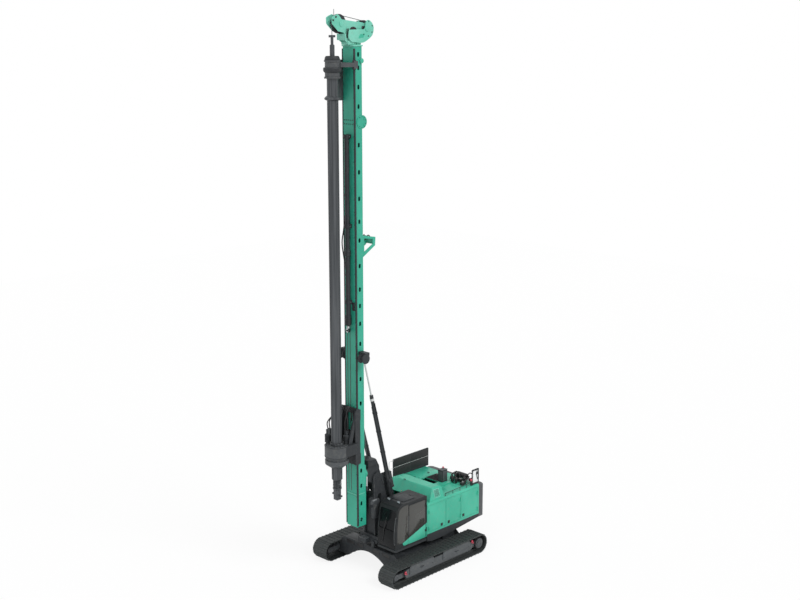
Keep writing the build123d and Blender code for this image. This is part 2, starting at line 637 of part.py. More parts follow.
# columns: section it is part of, height of the pin, reach behind the mast
rear_lugs = (("mast_main", 7900, 90), ("mast_main", 14900, 150), ("mast_head", 19350, 130))
for name, low, high, rear, holes in sections:
    depth = rear - mast_front
    with BuildPart() as section:
        with BuildSketch(Plane.XY.offset(low)):
            with Locations((0, (rear + mast_front) / 2)):
                Rectangle(2 * mast_half_width, depth)
                Rectangle(2 * (mast_half_width - mast_wall), depth - 2 * mast_wall, mode=Mode.SUBTRACT)
        extrude(amount=high - low)
        for end in (low, high - 30):
            with BuildSketch(Plane.XY.offset(end)):
                with Locations((0, (rear + mast_front) / 2)):
                    Rectangle(2 * mast_half_width, depth)
                    Rectangle(300, 200, mode=Mode.SUBTRACT)
            extrude(amount=30)
        if name == "mast_main":
            with BuildSketch(Plane.YZ.offset(-mast_half_width)):
                with BuildLine():
                    Polyline((mast_rear - 10, foot_joint), (foot_rear, foot_joint),
                             (foot_rear, pad_top - 70), (mast_rear - 10, pad_top), close=True)
                make_face()
            extrude(amount=2 * mast_half_width)
        if name != "mast_foot":
            half = -1 if name == "mast_main" else 1
            for x0 in (-mast_half_width - 20, mast_half_width - mast_wall):
                with BuildSketch(Plane.YZ.offset(x0)):
                    with Locations((lobe_y, top_joint)):
                        Circle(lobe_radius)
                    with Locations((lobe_y, top_joint + half * lobe_radius / 2)):
                        Rectangle(2 * lobe_radius, lobe_radius, mode=Mode.INTERSECT)
                extrude(amount=mast_wall + 20)
                with Locations((x0 + mast_wall, mast_rear + 90, top_joint + half * 110)):
                    Cylinder(40, 60, rotation=(0, 90, 0))
        for owner, z, reach in rear_lugs:
            if owner == name:
                for x0 in (-90, 60):
                    with BuildSketch(Plane.YZ.offset(x0)):
                        with Locations((mast_rear + reach - 50, z)):
                            Circle(50)
                        with Locations((mast_rear + reach / 2 - 50, z)):
                            Rectangle(reach - 50, 100)
                        with Locations((mast_rear + reach - 50, z)):
                            Circle(22, mode=Mode.SUBTRACT)
                    extrude(amount=30)
        with BuildSketch(Plane.YZ.offset(-mast_half_width - 30)):
            for z in holes:
                with Locations((hole_y, z)):
                    SlotOverall(170, 100, rotation=90)
        extrude(amount=2 * mast_half_width + 60, mode=Mode.SUBTRACT)
        if name == "mast_main":
            with BuildSketch(Plane.XZ.offset(-foot_rear)):
                with Locations((0, journal_z)):
                    Circle(journal_radius)
            extrude(amount=-(face_y - foot_rear - slew_gap))
            with BuildSketch(Plane.XZ.offset(-foot_rear)):
                with Locations((0, journal_z)):
                    Circle(journal_pin)
            extrude(amount=-(face_y - foot_rear + journal_depth))
            for x0 in (-245, 215):
                with BuildSketch(Plane.YZ.offset(x0)):
                    with BuildLine():
                        Polyline((mast_rear, 12300), (mast_rear + 640, 12680), (mast_rear + 660, 12990),
                                 (mast_rear, 13110), close=True)
                    make_face()
                    with BuildLine():
                        Polyline((mast_rear + 90, 12500), (mast_rear + 520, 12740), (mast_rear + 520, 12930),
                                 (mast_rear + 90, 13000), close=True)
                    make_face(mode=Mode.SUBTRACT)
                extrude(amount=30)
            with Locations((0, mast_rear + 630, 12840)):
                Box(460, 30, 240)
    save(section.part, name)

with BuildPart() as rails:
    for sign in (-1, 1):
        rail_x = sign * (mast_half_width + rail_width / 2)
        with Locations((rail_x, (rail_front + rail_rear) / 2, rail_bottom)):
            Box(rail_width, rail_rear - rail_front, rail_top - rail_bottom,
                align=(Align.CENTER, Align.CENTER, Align.MIN))
save(rails.part, "mast_rails")

# Cathead: an inner beam between two plates reaches over the bar, two outer plates hold the rear sheave
front_sheave_y, front_sheave_z = bar_axis + 300, 20600.0
rear_sheave_y, rear_sheave_z = -1880.0, 20430.0
front_sheave_radius, rear_sheave_radius = 330.0, 290.0
rope_depth = 40.0
head_front, flange = -2920.0, 25.0
sheave_pin = 45.0
with BuildPart() as cathead:
    for x0 in (-150, 130):
        with BuildSketch(Plane.YZ.offset(x0)):
            with BuildLine():
                Polyline((mast_front - 40, mast_top + 30), (head_front, 20050), (head_front, 20290),
                         (-2790, 20420), (-2790, 20740), (-2600, 20705),
                         (rear_sheave_y - 100, 20640), (rear_sheave_y + 80, 20520),
                         (rear_sheave_y + 80, 20330), (mast_rear, mast_top + 30), close=True)
            make_face()
            with Locations((front_sheave_y, front_sheave_z)):
                RegularPolygon(372, 8, rotation=22.5)
            with Locations((hole_y + 30, 20430)):
                SlotOverall(240, 110, rotation=0, mode=Mode.SUBTRACT)
        extrude(amount=20)
    for x0 in (-220, 195):
        with BuildSketch(Plane.YZ.offset(x0)):
            with BuildLine():
                Polyline((mast_front - 40, mast_top + 30), (head_front, 20050), (head_front - 30, 20370),
                         (rear_sheave_y, 20380), (rear_sheave_y, 20100), (-2160, 19980),
                         (mast_rear + 20, mast_top + 30), close=True)
            make_face()
            with Locations((rear_sheave_y, rear_sheave_z)):
                RegularPolygon(350, 8, rotation=22.5)
            with Locations((-2250, 20170)):
                RectangleRounded(230, 130, 20, mode=Mode.SUBTRACT)
        extrude(amount=25)
    with Locations((0, mast_middle, mast_top)):
        Box(2 * (mast_half_width + flange), mast_rear - mast_front + 2 * flange, 40,
            align=(Align.CENTER, Align.CENTER, Align.MIN))
    with Locations((0, head_front, 20150)):
        Box(440, 25, 200)
    with Locations((0, front_sheave_y, front_sheave_z)):
        Cylinder(sheave_pin, 340, rotation=(0, 90, 0))
    with Locations((0, rear_sheave_y, rear_sheave_z)):
        Cylinder(sheave_pin, 480, rotation=(0, 90, 0))
save(cathead.part, "cathead")
# columns: name, place along the machine, height, radius
sheave_table = (
    ("front_sheaves", front_sheave_y, front_sheave_z, front_sheave_radius),
    ("rear_sheaves", rear_sheave_y, rear_sheave_z, rear_sheave_radius),
)
for name, y, z, radius in sheave_table:
    with BuildPart() as sheave:
        with BuildSketch(Plane.XZ.offset(-y)):
            with BuildLine():
                Polyline((-40, z), (-40, z + radius), (-12, z + radius - rope_depth),
                         (12, z + radius - rope_depth), (40, z + radius), (40, z), close=True)
            make_face()
        revolve(axis=Axis((0, y, z), (1, 0, 0)))
        with Locations((0, y, z)):
            Cylinder(90, 200, rotation=(0, 90, 0))
            Cylinder(sheave_pin + run_gap, 300, rotation=(0, 90, 0), mode=Mode.SUBTRACT)
    save(sheave.part, name)

# Crowd cylinder on the mast's front face
crowd_y = mast_front - 110
with BuildPart() as crowd:
    with BuildSketch(Plane.XZ.offset(-crowd_y)):
        with BuildLine():
            Polyline((0, 9600), (45, 9600), (45, 10090), (100, 10100), (100, 10230), (85, 10240),
                     (85, 12380), (108, 12420), (108, 12580), (85, 12620), (85, 16750), (0, 16750),
                     close=True)
        make_face()
    revolve(axis=Axis((0, crowd_y, 0), (0, 0, 1)))
    with Locations((0, crowd_y, 9640)):
        Cylinder(75, 90, rotation=(0, 90, 0))
    for z in (10700, 13500, 16700):
        with BuildSketch(Plane.XY.offset(z - 70)):
            with Locations((0, (crowd_y + mast_front) / 2)):
                Rectangle(230, mast_front - crowd_y)
            with Locations((0, crowd_y)):
                Circle(mast_front - crowd_y - 2)
        extrude(amount=140)
save(crowd.part, "crowd_cylinder")

# Wear pads of a claw: in front of, beside and behind the rail
def claw(sign, low, high):
    """One claw round a rail between two heights, with its three wear pads."""
    middle, height = (low + high) / 2, high - low
    pad = slide_gap - run_gap
    rail_x, rail_y = sign * (mast_half_width + rail_width / 2), (rail_front + rail_rear) / 2
    hook_inner = mast_half_width + slide_gap
    with Locations((sign * (claw_inner + claw_outer) / 2, (claw_front + claw_rear) / 2, middle)):
        Box(claw_outer - claw_inner, claw_rear - claw_front, height)
    for hook_y in (claw_rear - hook_depth / 2, claw_front + hook_depth / 2):
        with Locations((sign * (hook_inner + claw_outer) / 2, hook_y, middle)):
            Box(claw_outer - hook_inner, hook_depth, height)
    with Locations((rail_x, rail_front - run_gap - pad / 2, middle),
                   (rail_x, rail_rear + run_gap + pad / 2, middle)):
        Box(rail_width - 8, pad, height)
    with Locations((sign * (claw_inner - pad / 2), rail_y, middle)):
        Box(pad, rail_rear - rail_front - 10, height)


# Carriage: back plate and claws on the rails, arms to the drive's ring and struts above them
with BuildPart() as carriage:
    with BuildSketch(Plane.XZ.offset(-claw_front - 60)):
        with Locations((0, (carriage_bottom + carriage_top) / 2)):
            Rectangle(2 * claw_outer, carriage_top - carriage_bottom)
        with Locations((0, 6150)):
            RectangleRounded(360, 700, 60, mode=Mode.SUBTRACT)
    extrude(amount=60)
    for sign in (-1, 1):
        claw(sign, carriage_bottom + 50, carriage_bottom + 450)
        claw(sign, carriage_top - 450, carriage_top - 50)
        with BuildSketch(Plane.YZ.offset(sign * (claw_outer - 15) - 15)):
            with BuildLine():
                Polyline((claw_front, carriage_bottom), (claw_rear - 20, carriage_bottom + 60),
                         (claw_rear - 20, carriage_top - 60), (claw_front, carriage_top),
                         (claw_front - 90, carriage_top - 150),
                         (claw_front - 90, carriage_bottom + 150), close=True)
            make_face()
        extrude(amount=30)
        with BuildSketch(Plane.XY.offset(ring_bottom + 20)):
            with BuildLine():
                Polyline((sign * 150, claw_front + 10), (sign * claw_outer, claw_front + 10),
                         (sign * (claw_outer + 50), claw_front - 120), (sign * 450, bar_axis + 60),
                         (sign * 150, bar_axis + 200), close=True)
            make_face()
        extrude(amount=ring_drive_top - ring_bottom - 40)
        with BuildSketch(Plane.YZ.offset(sign * 330 - 30)):
            with BuildLine():
                Polyline((-3120, ring_drive_top - 60), (-2930, ring_drive_top - 60), (claw_front + 10, 6420),
                         (claw_front + 10, 6640), (claw_front - 40, 6640), close=True)
            make_face()
        extrude(amount=60)
    with BuildSketch(Plane.XY.offset(carriage_bottom)):
        with Locations((0, bar_axis)):
            Circle(ring_drive_radius + seat_gap)
    extrude(amount=carriage_top - carriage_bottom, mode=Mode.SUBTRACT)
save(carriage.part, "carriage")

# Rotary drive: ring gear case with its neck and lower disc, and two motors that stand on it
# columns: x, distance behind the bar's axis, top
motor_table = ((-378, -10, 5950), (150, 355, 5820))
with BuildPart() as rotary:
    with BuildSketch(Plane.XZ.offset(-bar_axis)):
        with BuildLine():
            bore = sleeve_radius + run_gap
            Polyline((bore, 4600), (bore + 10, 4600), (440, 4700), (440, 4850), (380, 4870), (380, 4940),
                     (ring_drive_radius, ring_bottom), (ring_drive_radius, ring_drive_top - 30),
                     (ring_drive_radius - 30, ring_drive_top), (bore, ring_drive_top), close=True)
        make_face()
    revolve(axis=Axis((0, bar_axis, 0), (0, 0, 1)))
    for x, y, top in motor_table:
        with Locations((x, bar_axis + y, ring_drive_top + seat_gap)):
            Cylinder(70, top - ring_drive_top, align=(Align.CENTER, Align.CENTER, Align.MIN))
save(rotary.part, "rotary_drive")

with BuildPart() as sleeve:
    with BuildSketch(Plane.XZ.offset(-bar_axis)):
        with BuildLine():
            bore = bar_radius + sleeve_gap
            Polyline((bore, 4540), (bore + 14, 4540), (sleeve_radius, 4610),
                     (sleeve_radius, ring_drive_top - 30), (bore + 35, ring_drive_top - 10),
                     (bore + 35, ring_drive_top + 80), (bore, ring_drive_top + 80), close=True)
        make_face()
    revolve(axis=Axis((0, bar_axis, 0), (0, 0, 1)))
save(sleeve.part, "drive_sleeve")

# Bar guide: bearing drum on a cross-arm, with a web on the far side and claws on the rails
arm_z = 19200.0
with BuildPart() as guide:
    with BuildSketch(Plane.XZ.offset(-bar_axis)):
        with BuildLine():
            bore, low = bar_radius + run_gap, guide_top - guide_drum
            Polyline((bore, low), (290, low), (290, low + 50), (262, low + 62), (262, guide_top - 62),
                     (290, guide_top - 50), (290, guide_top), (bore, guide_top), close=True)
        make_face()
    revolve(axis=Axis((0, bar_axis, 0), (0, 0, 1)))
    with BuildSketch(Plane.YZ.offset(-290)):
        with BuildLine():
            Polyline((claw_front + 40, guide_bottom), (claw_front + 40, guide_top - 60),
                     (bar_axis + 130, guide_top - 60), (bar_axis + 130, guide_top - guide_drum + 60),
                     (claw_front - 90, guide_bottom), close=True)
        make_face()
    extrude(amount=30)
    with BuildSketch(Plane.XY.offset(arm_z - 75)):
        with BuildLine():
            Polyline((-claw_outer, claw_front + 40), (claw_outer, claw_front + 40),
                     (claw_outer, claw_front - 30), (150, bar_axis + 240), (-235, bar_axis + 180),
                     (-claw_outer, claw_front - 30), close=True)
        make_face()
    extrude(amount=150)
    claw(1, arm_z - 130, arm_z + 130)
    claw(-1, arm_z - 130, arm_z + 130)
    claw(-1, guide_bottom, guide_bottom + 260)
save(guide.part, "bar_guide")

# Drill bar: outer tube with its collar and drive strips, and the inner bar with damper, stub and swivel
strip_bottom, strip_top = 4300.0, 17900.0
with BuildPart() as outer_bar:
    with BuildSketch(Plane.XY.offset(bar_bottom)):
        with Locations((0, bar_axis)):
            Circle(bar_radius)
            Circle(bar_radius - bar_wall, mode=Mode.SUBTRACT)
    extrude(amount=bar_top - bar_bottom)
    for z in (bar_bottom, bar_top - 200):
        with BuildSketch(Plane.XY.offset(z)):
            with Locations((0, bar_axis)):
                Circle(bar_radius - 1)
                Circle(inner_radius + run_gap, mode=Mode.SUBTRACT)
        extrude(amount=200)
    with BuildSketch(Plane.XZ.offset(-bar_axis)):
        with BuildLine():
            Polyline((bar_radius + seat_gap, 17990), (bar_radius + 20, 17990), (290, 18030), (290, 18080),
                     (bar_radius + seat_gap, 18160), close=True)
        make_face()
    revolve(axis=Axis((0, bar_axis, 0), (0, 0, 1)))
    with Locations((0, bar_axis, strip_bottom)):
        with PolarLocations(bar_radius, 3, start_angle=15):
            Box(20, 46, strip_top - strip_bottom, align=(Align.CENTER, Align.CENTER, Align.MIN))
save(outer_bar.part, "outer_bar")

with BuildPart() as inner_bar:
    with BuildSketch(Plane.XZ.offset(-bar_axis)):
        with BuildLine():
            Polyline((0, 3670), (150, 3670), (165, 3690), (165, 3745), (118, 3755), (118, 4150),
                     (165, 4160), (165, bar_bottom - seat_gap), (inner_radius, bar_bottom - seat_gap),
                     (inner_radius, 19880), (50, 19900), (50, 20150), (0, 20150), close=True)
        make_face()
    revolve(axis=Axis((0, bar_axis, 0), (0, 0, 1)))
    with Locations((0, bar_axis, stub_bottom)):
        Box(stub_side, stub_side, 3700 - stub_bottom, align=(Align.CENTER, Align.CENTER, Align.MIN))
    with Locations((0, bar_axis, stub_bottom + 180)):
        Cylinder(32, 320, rotation=(0, 90, 0))
    with Locations((0, bar_axis, 20180)):
        Box(60, 260, 80)
save(inner_bar.part, "inner_bar")
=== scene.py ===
# %% [markdown]
# # A rotary piling rig, dressed for the render
#
# The steel of this machine comes packed as a fixed frame: crawlers, upper body, mast, rotary drive and drill bar.
# This lesson gives every surface its finish and adds the small things that make a machine look used and real:
# bolts, covers, ropes, hoses, pipes, panes, rails, seals and latches. Most pieces hang on an empty named after the
# body that carries them and move with it; the rope runs between two bodies hang on none.

# %% Load the frame
import math

import bmesh
import bpy
from mathutils import Matrix, Vector


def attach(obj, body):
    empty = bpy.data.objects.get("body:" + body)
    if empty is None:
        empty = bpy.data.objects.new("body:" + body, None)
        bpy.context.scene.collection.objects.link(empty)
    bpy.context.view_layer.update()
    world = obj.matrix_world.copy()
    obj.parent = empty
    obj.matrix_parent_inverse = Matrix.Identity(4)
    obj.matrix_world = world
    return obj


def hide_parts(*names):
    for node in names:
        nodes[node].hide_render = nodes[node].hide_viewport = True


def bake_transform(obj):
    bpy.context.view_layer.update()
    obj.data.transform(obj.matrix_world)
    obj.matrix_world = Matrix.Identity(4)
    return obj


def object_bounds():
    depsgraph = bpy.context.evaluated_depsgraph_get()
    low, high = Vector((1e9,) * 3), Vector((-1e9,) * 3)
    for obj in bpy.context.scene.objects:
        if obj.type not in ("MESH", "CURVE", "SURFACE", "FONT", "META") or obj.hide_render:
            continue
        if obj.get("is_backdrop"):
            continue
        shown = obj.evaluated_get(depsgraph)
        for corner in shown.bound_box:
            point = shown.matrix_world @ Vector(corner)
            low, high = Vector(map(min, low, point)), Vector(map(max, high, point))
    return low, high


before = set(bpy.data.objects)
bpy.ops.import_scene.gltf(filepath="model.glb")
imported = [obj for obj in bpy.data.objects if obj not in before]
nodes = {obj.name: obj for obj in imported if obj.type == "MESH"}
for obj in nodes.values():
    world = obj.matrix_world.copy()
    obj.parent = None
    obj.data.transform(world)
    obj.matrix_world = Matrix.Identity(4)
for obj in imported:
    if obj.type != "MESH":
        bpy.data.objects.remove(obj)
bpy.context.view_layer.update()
scene = bpy.context.scene

# %% [markdown]
# ## The camera
#
# The photograph was taken with a long lens from high up on the machine's front left. The place, the turn and the
# focal length were worked out from the parallel edges of mast, tracks and cab, so the camera is written as numbers:
# where it stands, how far round and how far down it looks. The lens is in millimetres on Blender's 36 mm sensor.

# %% The photograph's camera
IMAGE_WIDTH = 800
camera_place = Vector((32.797, -33.465, 20.739))
camera_round, camera_down = math.radians(44.309), math.radians(12.362)
focal_pixels = 1264.6
centre_offset = (2.87, -3.26)

back = Vector((math.sin(camera_round) * math.cos(camera_down),
               -math.cos(camera_round) * math.cos(camera_down), math.sin(camera_down)))
right = Vector((math.cos(camera_round), math.sin(camera_round), 0))
camera_data = bpy.data.cameras.new("photo_camera")
camera = bpy.data.objects.new("photo_camera", camera_data)
camera.matrix_world = Matrix.Translation(camera_place) @ Matrix((right, back.cross(right), back)).transposed().to_4x4()
camera_data.lens = focal_pixels * camera_data.sensor_width / IMAGE_WIDTH
camera_data.shift_x = -centre_offset[0] / IMAGE_WIDTH
camera_data.shift_y = centre_offset[1] / IMAGE_WIDTH
camera_data.clip_end = 500
scene.collection.objects.link(camera)
scene.camera = camera
print("lens:", round(camera_data.lens, 2), "mm")

# %% [markdown]
# ## Helpers for materials
#
# A colour picker shows sRGB, but shaders count in linear light, so one function turns the hex value of a paint into
# linear numbers. Another adds a shader node with its settings and its links in one line. The last four are the steps
# that nearly every finish takes: a noise, its range spread, two colours mixed by it, and bumps.


# %% Colour and node helpers
def paint(code):
    """Linear RGBA of an sRGB hex colour."""
    channels = [int(code[i:i + 2], 16) / 255 for i in (1, 3, 5)]
    return [c / 12.92 if c <= 0.04045 else ((c + 0.055) / 1.055) ** 2.4 for c in channels] + [1.0]


def set_inputs(tree, node, inputs):
    """Each socket, by name or number, gets a value or a link from another node's socket."""
    for name, value in inputs.items():
        if isinstance(value, bpy.types.NodeSocket):
            tree.links.new(value, node.inputs[name])
        else:
            node.inputs[name].default_value = value


def add_node(tree, kind, inputs=None, **settings):
    """A node with its settings and its inputs."""
    made = tree.nodes.new(kind)
    for name, value in settings.items():
        setattr(made, name, value)
    set_inputs(tree, made, inputs or {})
    return made


def new_material(name):
    """An empty material with its shader and output: returns the material, its tree and the shader."""
    material = bpy.data.materials.new(name)
    material.use_nodes = True
    tree = material.node_tree
    tree.nodes.clear()
    shader = add_node(tree, "ShaderNodeBsdfPrincipled")
    add_node(tree, "ShaderNodeOutputMaterial", {"Surface": shader.outputs["BSDF"]})
    return material, tree, shader


def object_space(tree):
    """The place on the piece, in metres."""
    return add_node(tree, "ShaderNodeTexCoord").outputs["Object"]


def noise(tree, place, size_mm, detail, roughness=0.5):
    """A noise whose largest grain is size_mm across."""
    inputs = {"Vector": place, "Scale": 1000 / size_mm, "Detail": detail, "Roughness": roughness}
    return add_node(tree, "ShaderNodeTexNoise", inputs).outputs["Fac"]


def spread(tree, value, low, high, first=0.0, last=1.0):
    """The value with its range from low to high spread from first to last."""
    return add_node(tree, "ShaderNodeMapRange", {0: value, 1: low, 2: high, 3: first, 4: last}).outputs[0]


def mix_paints(tree, share, first, second):
    """A colour between two others, each a hex code, linear numbers or a socket."""
    first, second = (paint(c) if isinstance(c, str) else c for c in (first, second))
    return add_node(tree, "ShaderNodeMix", {0: share, 6: first, 7: second}, data_type="RGBA").outputs[2]


def bumps(tree, height, strength, distance):
    """The normals of a surface raised by a height, with the distance in metres."""
    inputs = {"Height": height, "Strength": strength, "Distance": distance}
    return add_node(tree, "ShaderNodeBump", inputs).outputs["Normal"]


# %% [markdown]
# ## Machine enamel
#
# Most of the rig is two-pack enamel sprayed on welded steel plate. From a step away such paint isn't one colour: it
# fades in patches a metre across, carries a thin film of dust lower down, and its skin has the fine ripple called
# orange peel. All three are noise textures in object space, at sizes worked out in millimetres.


# %% Machine enamel, sprayed on steel plate
PATCH_MM, FILM_MM, PEEL_MM = 900, 140, 9
DUST_COLOUR = "#8B8A80"


def machine_enamel(name, code, faded, roughness=0.42, dust=0.25, shine=0.5):
    """Sprayed paint with faded patches, a film of dust and orange peel."""
    material, tree, shader = new_material(name)
    place = object_space(tree)
    patches = spread(tree, noise(tree, place, PATCH_MM, 4.0), 0.35, 0.68)
    film = noise(tree, place, FILM_MM, 6.0, 0.65)
    colour = mix_paints(tree, patches, code, faded)
    set_inputs(tree, shader, {
        "Base Color": mix_paints(tree, spread(tree, film, 0.5, 0.8, 0.0, dust), colour, DUST_COLOUR),
        "Roughness": spread(tree, film, 0.3, 0.75, roughness - 0.08, roughness + 0.16),
        "Normal": bumps(tree, noise(tree, place, PEEL_MM, 2.0), 0.06, 0.004),
        "IOR": 1.5, "Specular IOR Level": shine})
    return material


teal_enamel = machine_enamel("teal_enamel", "#2FA488", "#3DB194")
mast_enamel = machine_enamel("mast_enamel", "#239B81", "#2FA68B", dust=0.12)
pale_teal_enamel = machine_enamel("pale_teal_enamel", "#5FBBA3", "#7CC8B4")
dark_enamel = machine_enamel("dark_enamel", "#2A2D30", "#323538", roughness=0.5, dust=0.10, shine=0.25)
grey_enamel = machine_enamel("grey_enamel", "#3B3E41", "#44484B", roughness=0.48)
cab_enamel = machine_enamel("cab_enamel", "#232628", "#2A2D2F", roughness=0.46, dust=0.06, shine=0.18)
panel_enamel = machine_enamel("panel_enamel", "#3F4346", "#484C4F", roughness=0.5)

# %% [markdown]
# ## Steel that works
#
# Track shoes and chain are cast and forged steel, ground bright where they roll and dull with dried soil elsewhere.
# The drill bar is drawn steel tube, darkened by oil, with streaks along its length where it slides.


# %% Worn track steel, oiled bar steel, chrome, glass and fabric
def track_steel():
    """Cast steel under dried soil."""
    material, tree, shader = new_material("track_steel")
    soil = noise(tree, object_space(tree), 60, 8.0, 0.7)
    set_inputs(tree, shader, {
        "Base Color": mix_paints(tree, spread(tree, soil, 0.42, 0.7), "#34393B", "#4C4E4B"),
        "Normal": bumps(tree, soil, 0.35, 0.006), "Metallic": 0.35, "Roughness": 0.62})
    return material


def bar_steel():
    """Drawn tube with streaks of oil along its length."""
    material, tree, shader = new_material("bar_steel")
    stretched = add_node(tree, "ShaderNodeMapping", {"Vector": object_space(tree), "Scale": (14.0, 14.0, 0.35)})
    streaks = spread(tree, noise(tree, stretched.outputs[0], 1000, 5.0), 0.35, 0.7)
    set_inputs(tree, shader, {"Base Color": mix_paints(tree, streaks, "#3B3E41", "#5A5D60"),
                              "Metallic": 0.55, "Roughness": 0.45})
    return material


def chrome_rod():
    """Polished rod, wiped unevenly by its seal."""
    material, tree, shader = new_material("chrome_rod")
    wipe = noise(tree, object_space(tree), 80, 3.0)
    set_inputs(tree, shader, {"Base Color": paint("#C9CBCC"), "Metallic": 1.0,
                              "Roughness": spread(tree, wipe, 0.0, 1.0, 0.14, 0.26)})
    return material


def safety_glass(name, code, alpha, shine=0.5):
    """Tinted laminated glass: dark body, clear gloss, a faint smear of dust in the roughness; on the near-black cab
    glass the dark body is painted shade.
    """
    material, tree, shader = new_material(name)
    smear = noise(tree, object_space(tree), 250, 4.0)
    set_inputs(tree, shader, {"Base Color": paint(code), "Alpha": alpha, "IOR": 1.52, "Specular IOR Level": shine,
                              "Roughness": spread(tree, smear, 0.0, 1.0, 0.05, 0.16)})
    return material


def black_fabric():
    """Woven cloth, its threads 12 mm apart."""
    material, tree, shader = new_material("black_fabric")
    weave = add_node(tree, "ShaderNodeTexWave", {"Vector": object_space(tree), "Scale": 1000 / 12, "Distortion": 1.5})
    set_inputs(tree, shader, {"Base Color": mix_paints(tree, weave.outputs["Fac"], "#1B1C1E", "#2A2B2E"),
                              "Roughness": 0.9})
    return material


worn_track = track_steel()
oiled_bar = bar_steel()
chrome = chrome_rod()
tinted = safety_glass("tinted_glass", "#3C3C39", 0.96)
# The cab glass is near black as painted shade: windscreen, front and door panes lie in shade. The side panes keep their
# brownish tint.
glass = safety_glass("shaded_dark_glass", "#16181A", 0.98, shine=0.12)
seat_cloth = black_fabric()

# %% [markdown]
# ## A finish for every steel piece of the frame
#
# The table gives each node of the frame its material. The finish only replaces what is in the material slots: the
# meshes stay as they came.

# %% Finishes of the frame's nodes
finish_table = {
    teal_enamel: ("left_housing", "right_housing", "hood", "left_door_front", "left_door_middle", "left_door_rear",
                  "right_door"),
    mast_enamel: ("mast_foot", "mast_main", "mast_head"),
    pale_teal_enamel: ("cathead",),
    dark_enamel: ("carbody", "turntable_frame", "engine_block", "guard_rail", "mast_column", "stay_feet",
                  "stay_brackets", "cardan_block", "stay_gimbal_left", "stay_gimbal_right", "stay_barrel_left",
                  "stay_barrel_right", "mast_rails", "crowd_cylinder", "front_sheaves", "rear_sheaves", "carriage"),
    grey_enamel: ("track_frame_left", "track_frame_right", "counterweight", "rotary_drive", "bar_guide"),
    cab_enamel: ("cab_shell", "cab_door_frame"),
    worn_track: ("track_belt_left", "track_belt_right", "winch_drum"),
    oiled_bar: ("outer_bar", "inner_bar", "drive_sleeve"),
    chrome: ("stay_rod_left", "stay_rod_right"),
    glass: ("cab_glass", "cab_door_glass"),
    seat_cloth: ("cab_seat",),
}
for material, names in finish_table.items():
    for name in names:
        nodes[name].data.materials.clear()
        nodes[name].data.materials.append(material)
print("finished:", sum(len(names) for names in finish_table.values()), "of", len(nodes))

# %% [markdown]
# ## Helpers for shapes
#
# A small machine part is nearly always one of four things: a plate cut to an outline, a block with broken edges, a
# turned part, or a bent tube. Four functions add these to one mesh, so that a whole bracket is built in a few lines.
# The last helper turns the mesh into a piece: it gets its material and rides on the body that carries it.


# %% Plates, blocks, turned parts and tubes
def add_plate(shape, outline, thickness, place, edge=0.0):
    """An outline of (u, v) corners, extruded along the third axis of the matrix place; edge breaks its rim."""
    low = [shape.verts.new(place @ Vector((u, v, 0))) for u, v in outline]
    high = [shape.verts.new(place @ Vector((u, v, thickness))) for u, v in outline]
    shape.faces.new(low[::-1])
    top = shape.faces.new(high)
    for i in range(len(outline)):
        j = (i + 1) % len(outline)
        shape.faces.new((low[i], low[j], high[j], high[i]))
    if edge:
        bmesh.ops.bevel(shape, geom=list(top.edges), offset=edge, segments=2, profile=0.5, affect="EDGES")


def add_block(shape, centre, size, edge=0.006, turn=None):
    """A block with broken edges; turn is an optional rotation matrix."""
    made = bmesh.ops.create_cube(shape, size=1.0)
    place = Matrix.Translation(centre) @ (turn or Matrix.Identity(4)) @ Matrix.Diagonal((*size, 1))
    bmesh.ops.transform(shape, matrix=place, verts=made["verts"])
    edges = list({e for v in made["verts"] for e in v.link_edges})
    bmesh.ops.bevel(shape, geom=edges, offset=edge, segments=2, profile=0.5, affect="EDGES")


UP, DOWN, FORWARD = (0, 0, 1), (0, 0, -1), (0, -1, 0)


def round_angles(count, start=0.0):
    """Angles evenly round a circle."""
    return [start + 2 * math.pi * i / count for i in range(count)]


def join_rings(shape, low, high):
    """Faces between two rings of points; a ring of one point is a tip."""
    count = max(len(low), len(high))
    for i in range(count):
        j = (i + 1) % count
        if len(low) == 1 and len(high) > 1:
            shape.faces.new((low[0], high[i], high[j]))
        elif len(high) == 1 and len(low) > 1:
            shape.faces.new((low[i], low[j], high[0]))
        elif len(low) > 1:
            shape.faces.new((low[i], low[j], high[j], high[i]))


def add_turned(shape, profile, centre, axis=UP, steps=32):
    """A turned part: profile lists (radius, height) along the axis from the centre."""
    place = Matrix.Translation(centre) @ Vector(axis).to_track_quat("Z", "Y").to_matrix().to_4x4()
    rings = [[shape.verts.new(place @ Vector((radius * math.cos(a), radius * math.sin(a), height)))
              for a in (round_angles(steps) if radius else [0.0])] for radius, height in profile]
    for low, high in zip(rings, rings[1:]):
        join_rings(shape, low, high)


def disc(radius, high, low=0.0):
    """Profile of a plain round part."""
    return ((0.0, low), (radius, low), (radius, high), (0.0, high))


def cap(radius, edge, flat, high):
    """Profile of a cap: upright to the height edge, then sloping in to a flat top."""
    return ((0.0, 0.0), (radius, 0.0), (radius, edge), (flat, high), (0.0, high))


def band(inner, outer, low, high):
    """Profile of a band, open on the side that lies against what it holds."""
    return ((inner, low), (outer, low), (outer, high), (inner, high))


def smooth_path(points, per_span=8):
    """A smooth line through the points."""
    line = [Vector(p) for p in points]
    padded = [2 * line[0] - line[1], *line, 2 * line[-1] - line[-2]]
    path = []
    for a, b, c, d in zip(padded, padded[1:], padded[2:], padded[3:]):
        for i in range(per_span):
            t = i / per_span
            path.append(0.5 * ((2 * b) + (c - a) * t + (2 * a - 5 * b + 4 * c - d) * t * t
                               + (3 * b - a - 3 * c + d) * t ** 3))
    return path + [line[-1]]


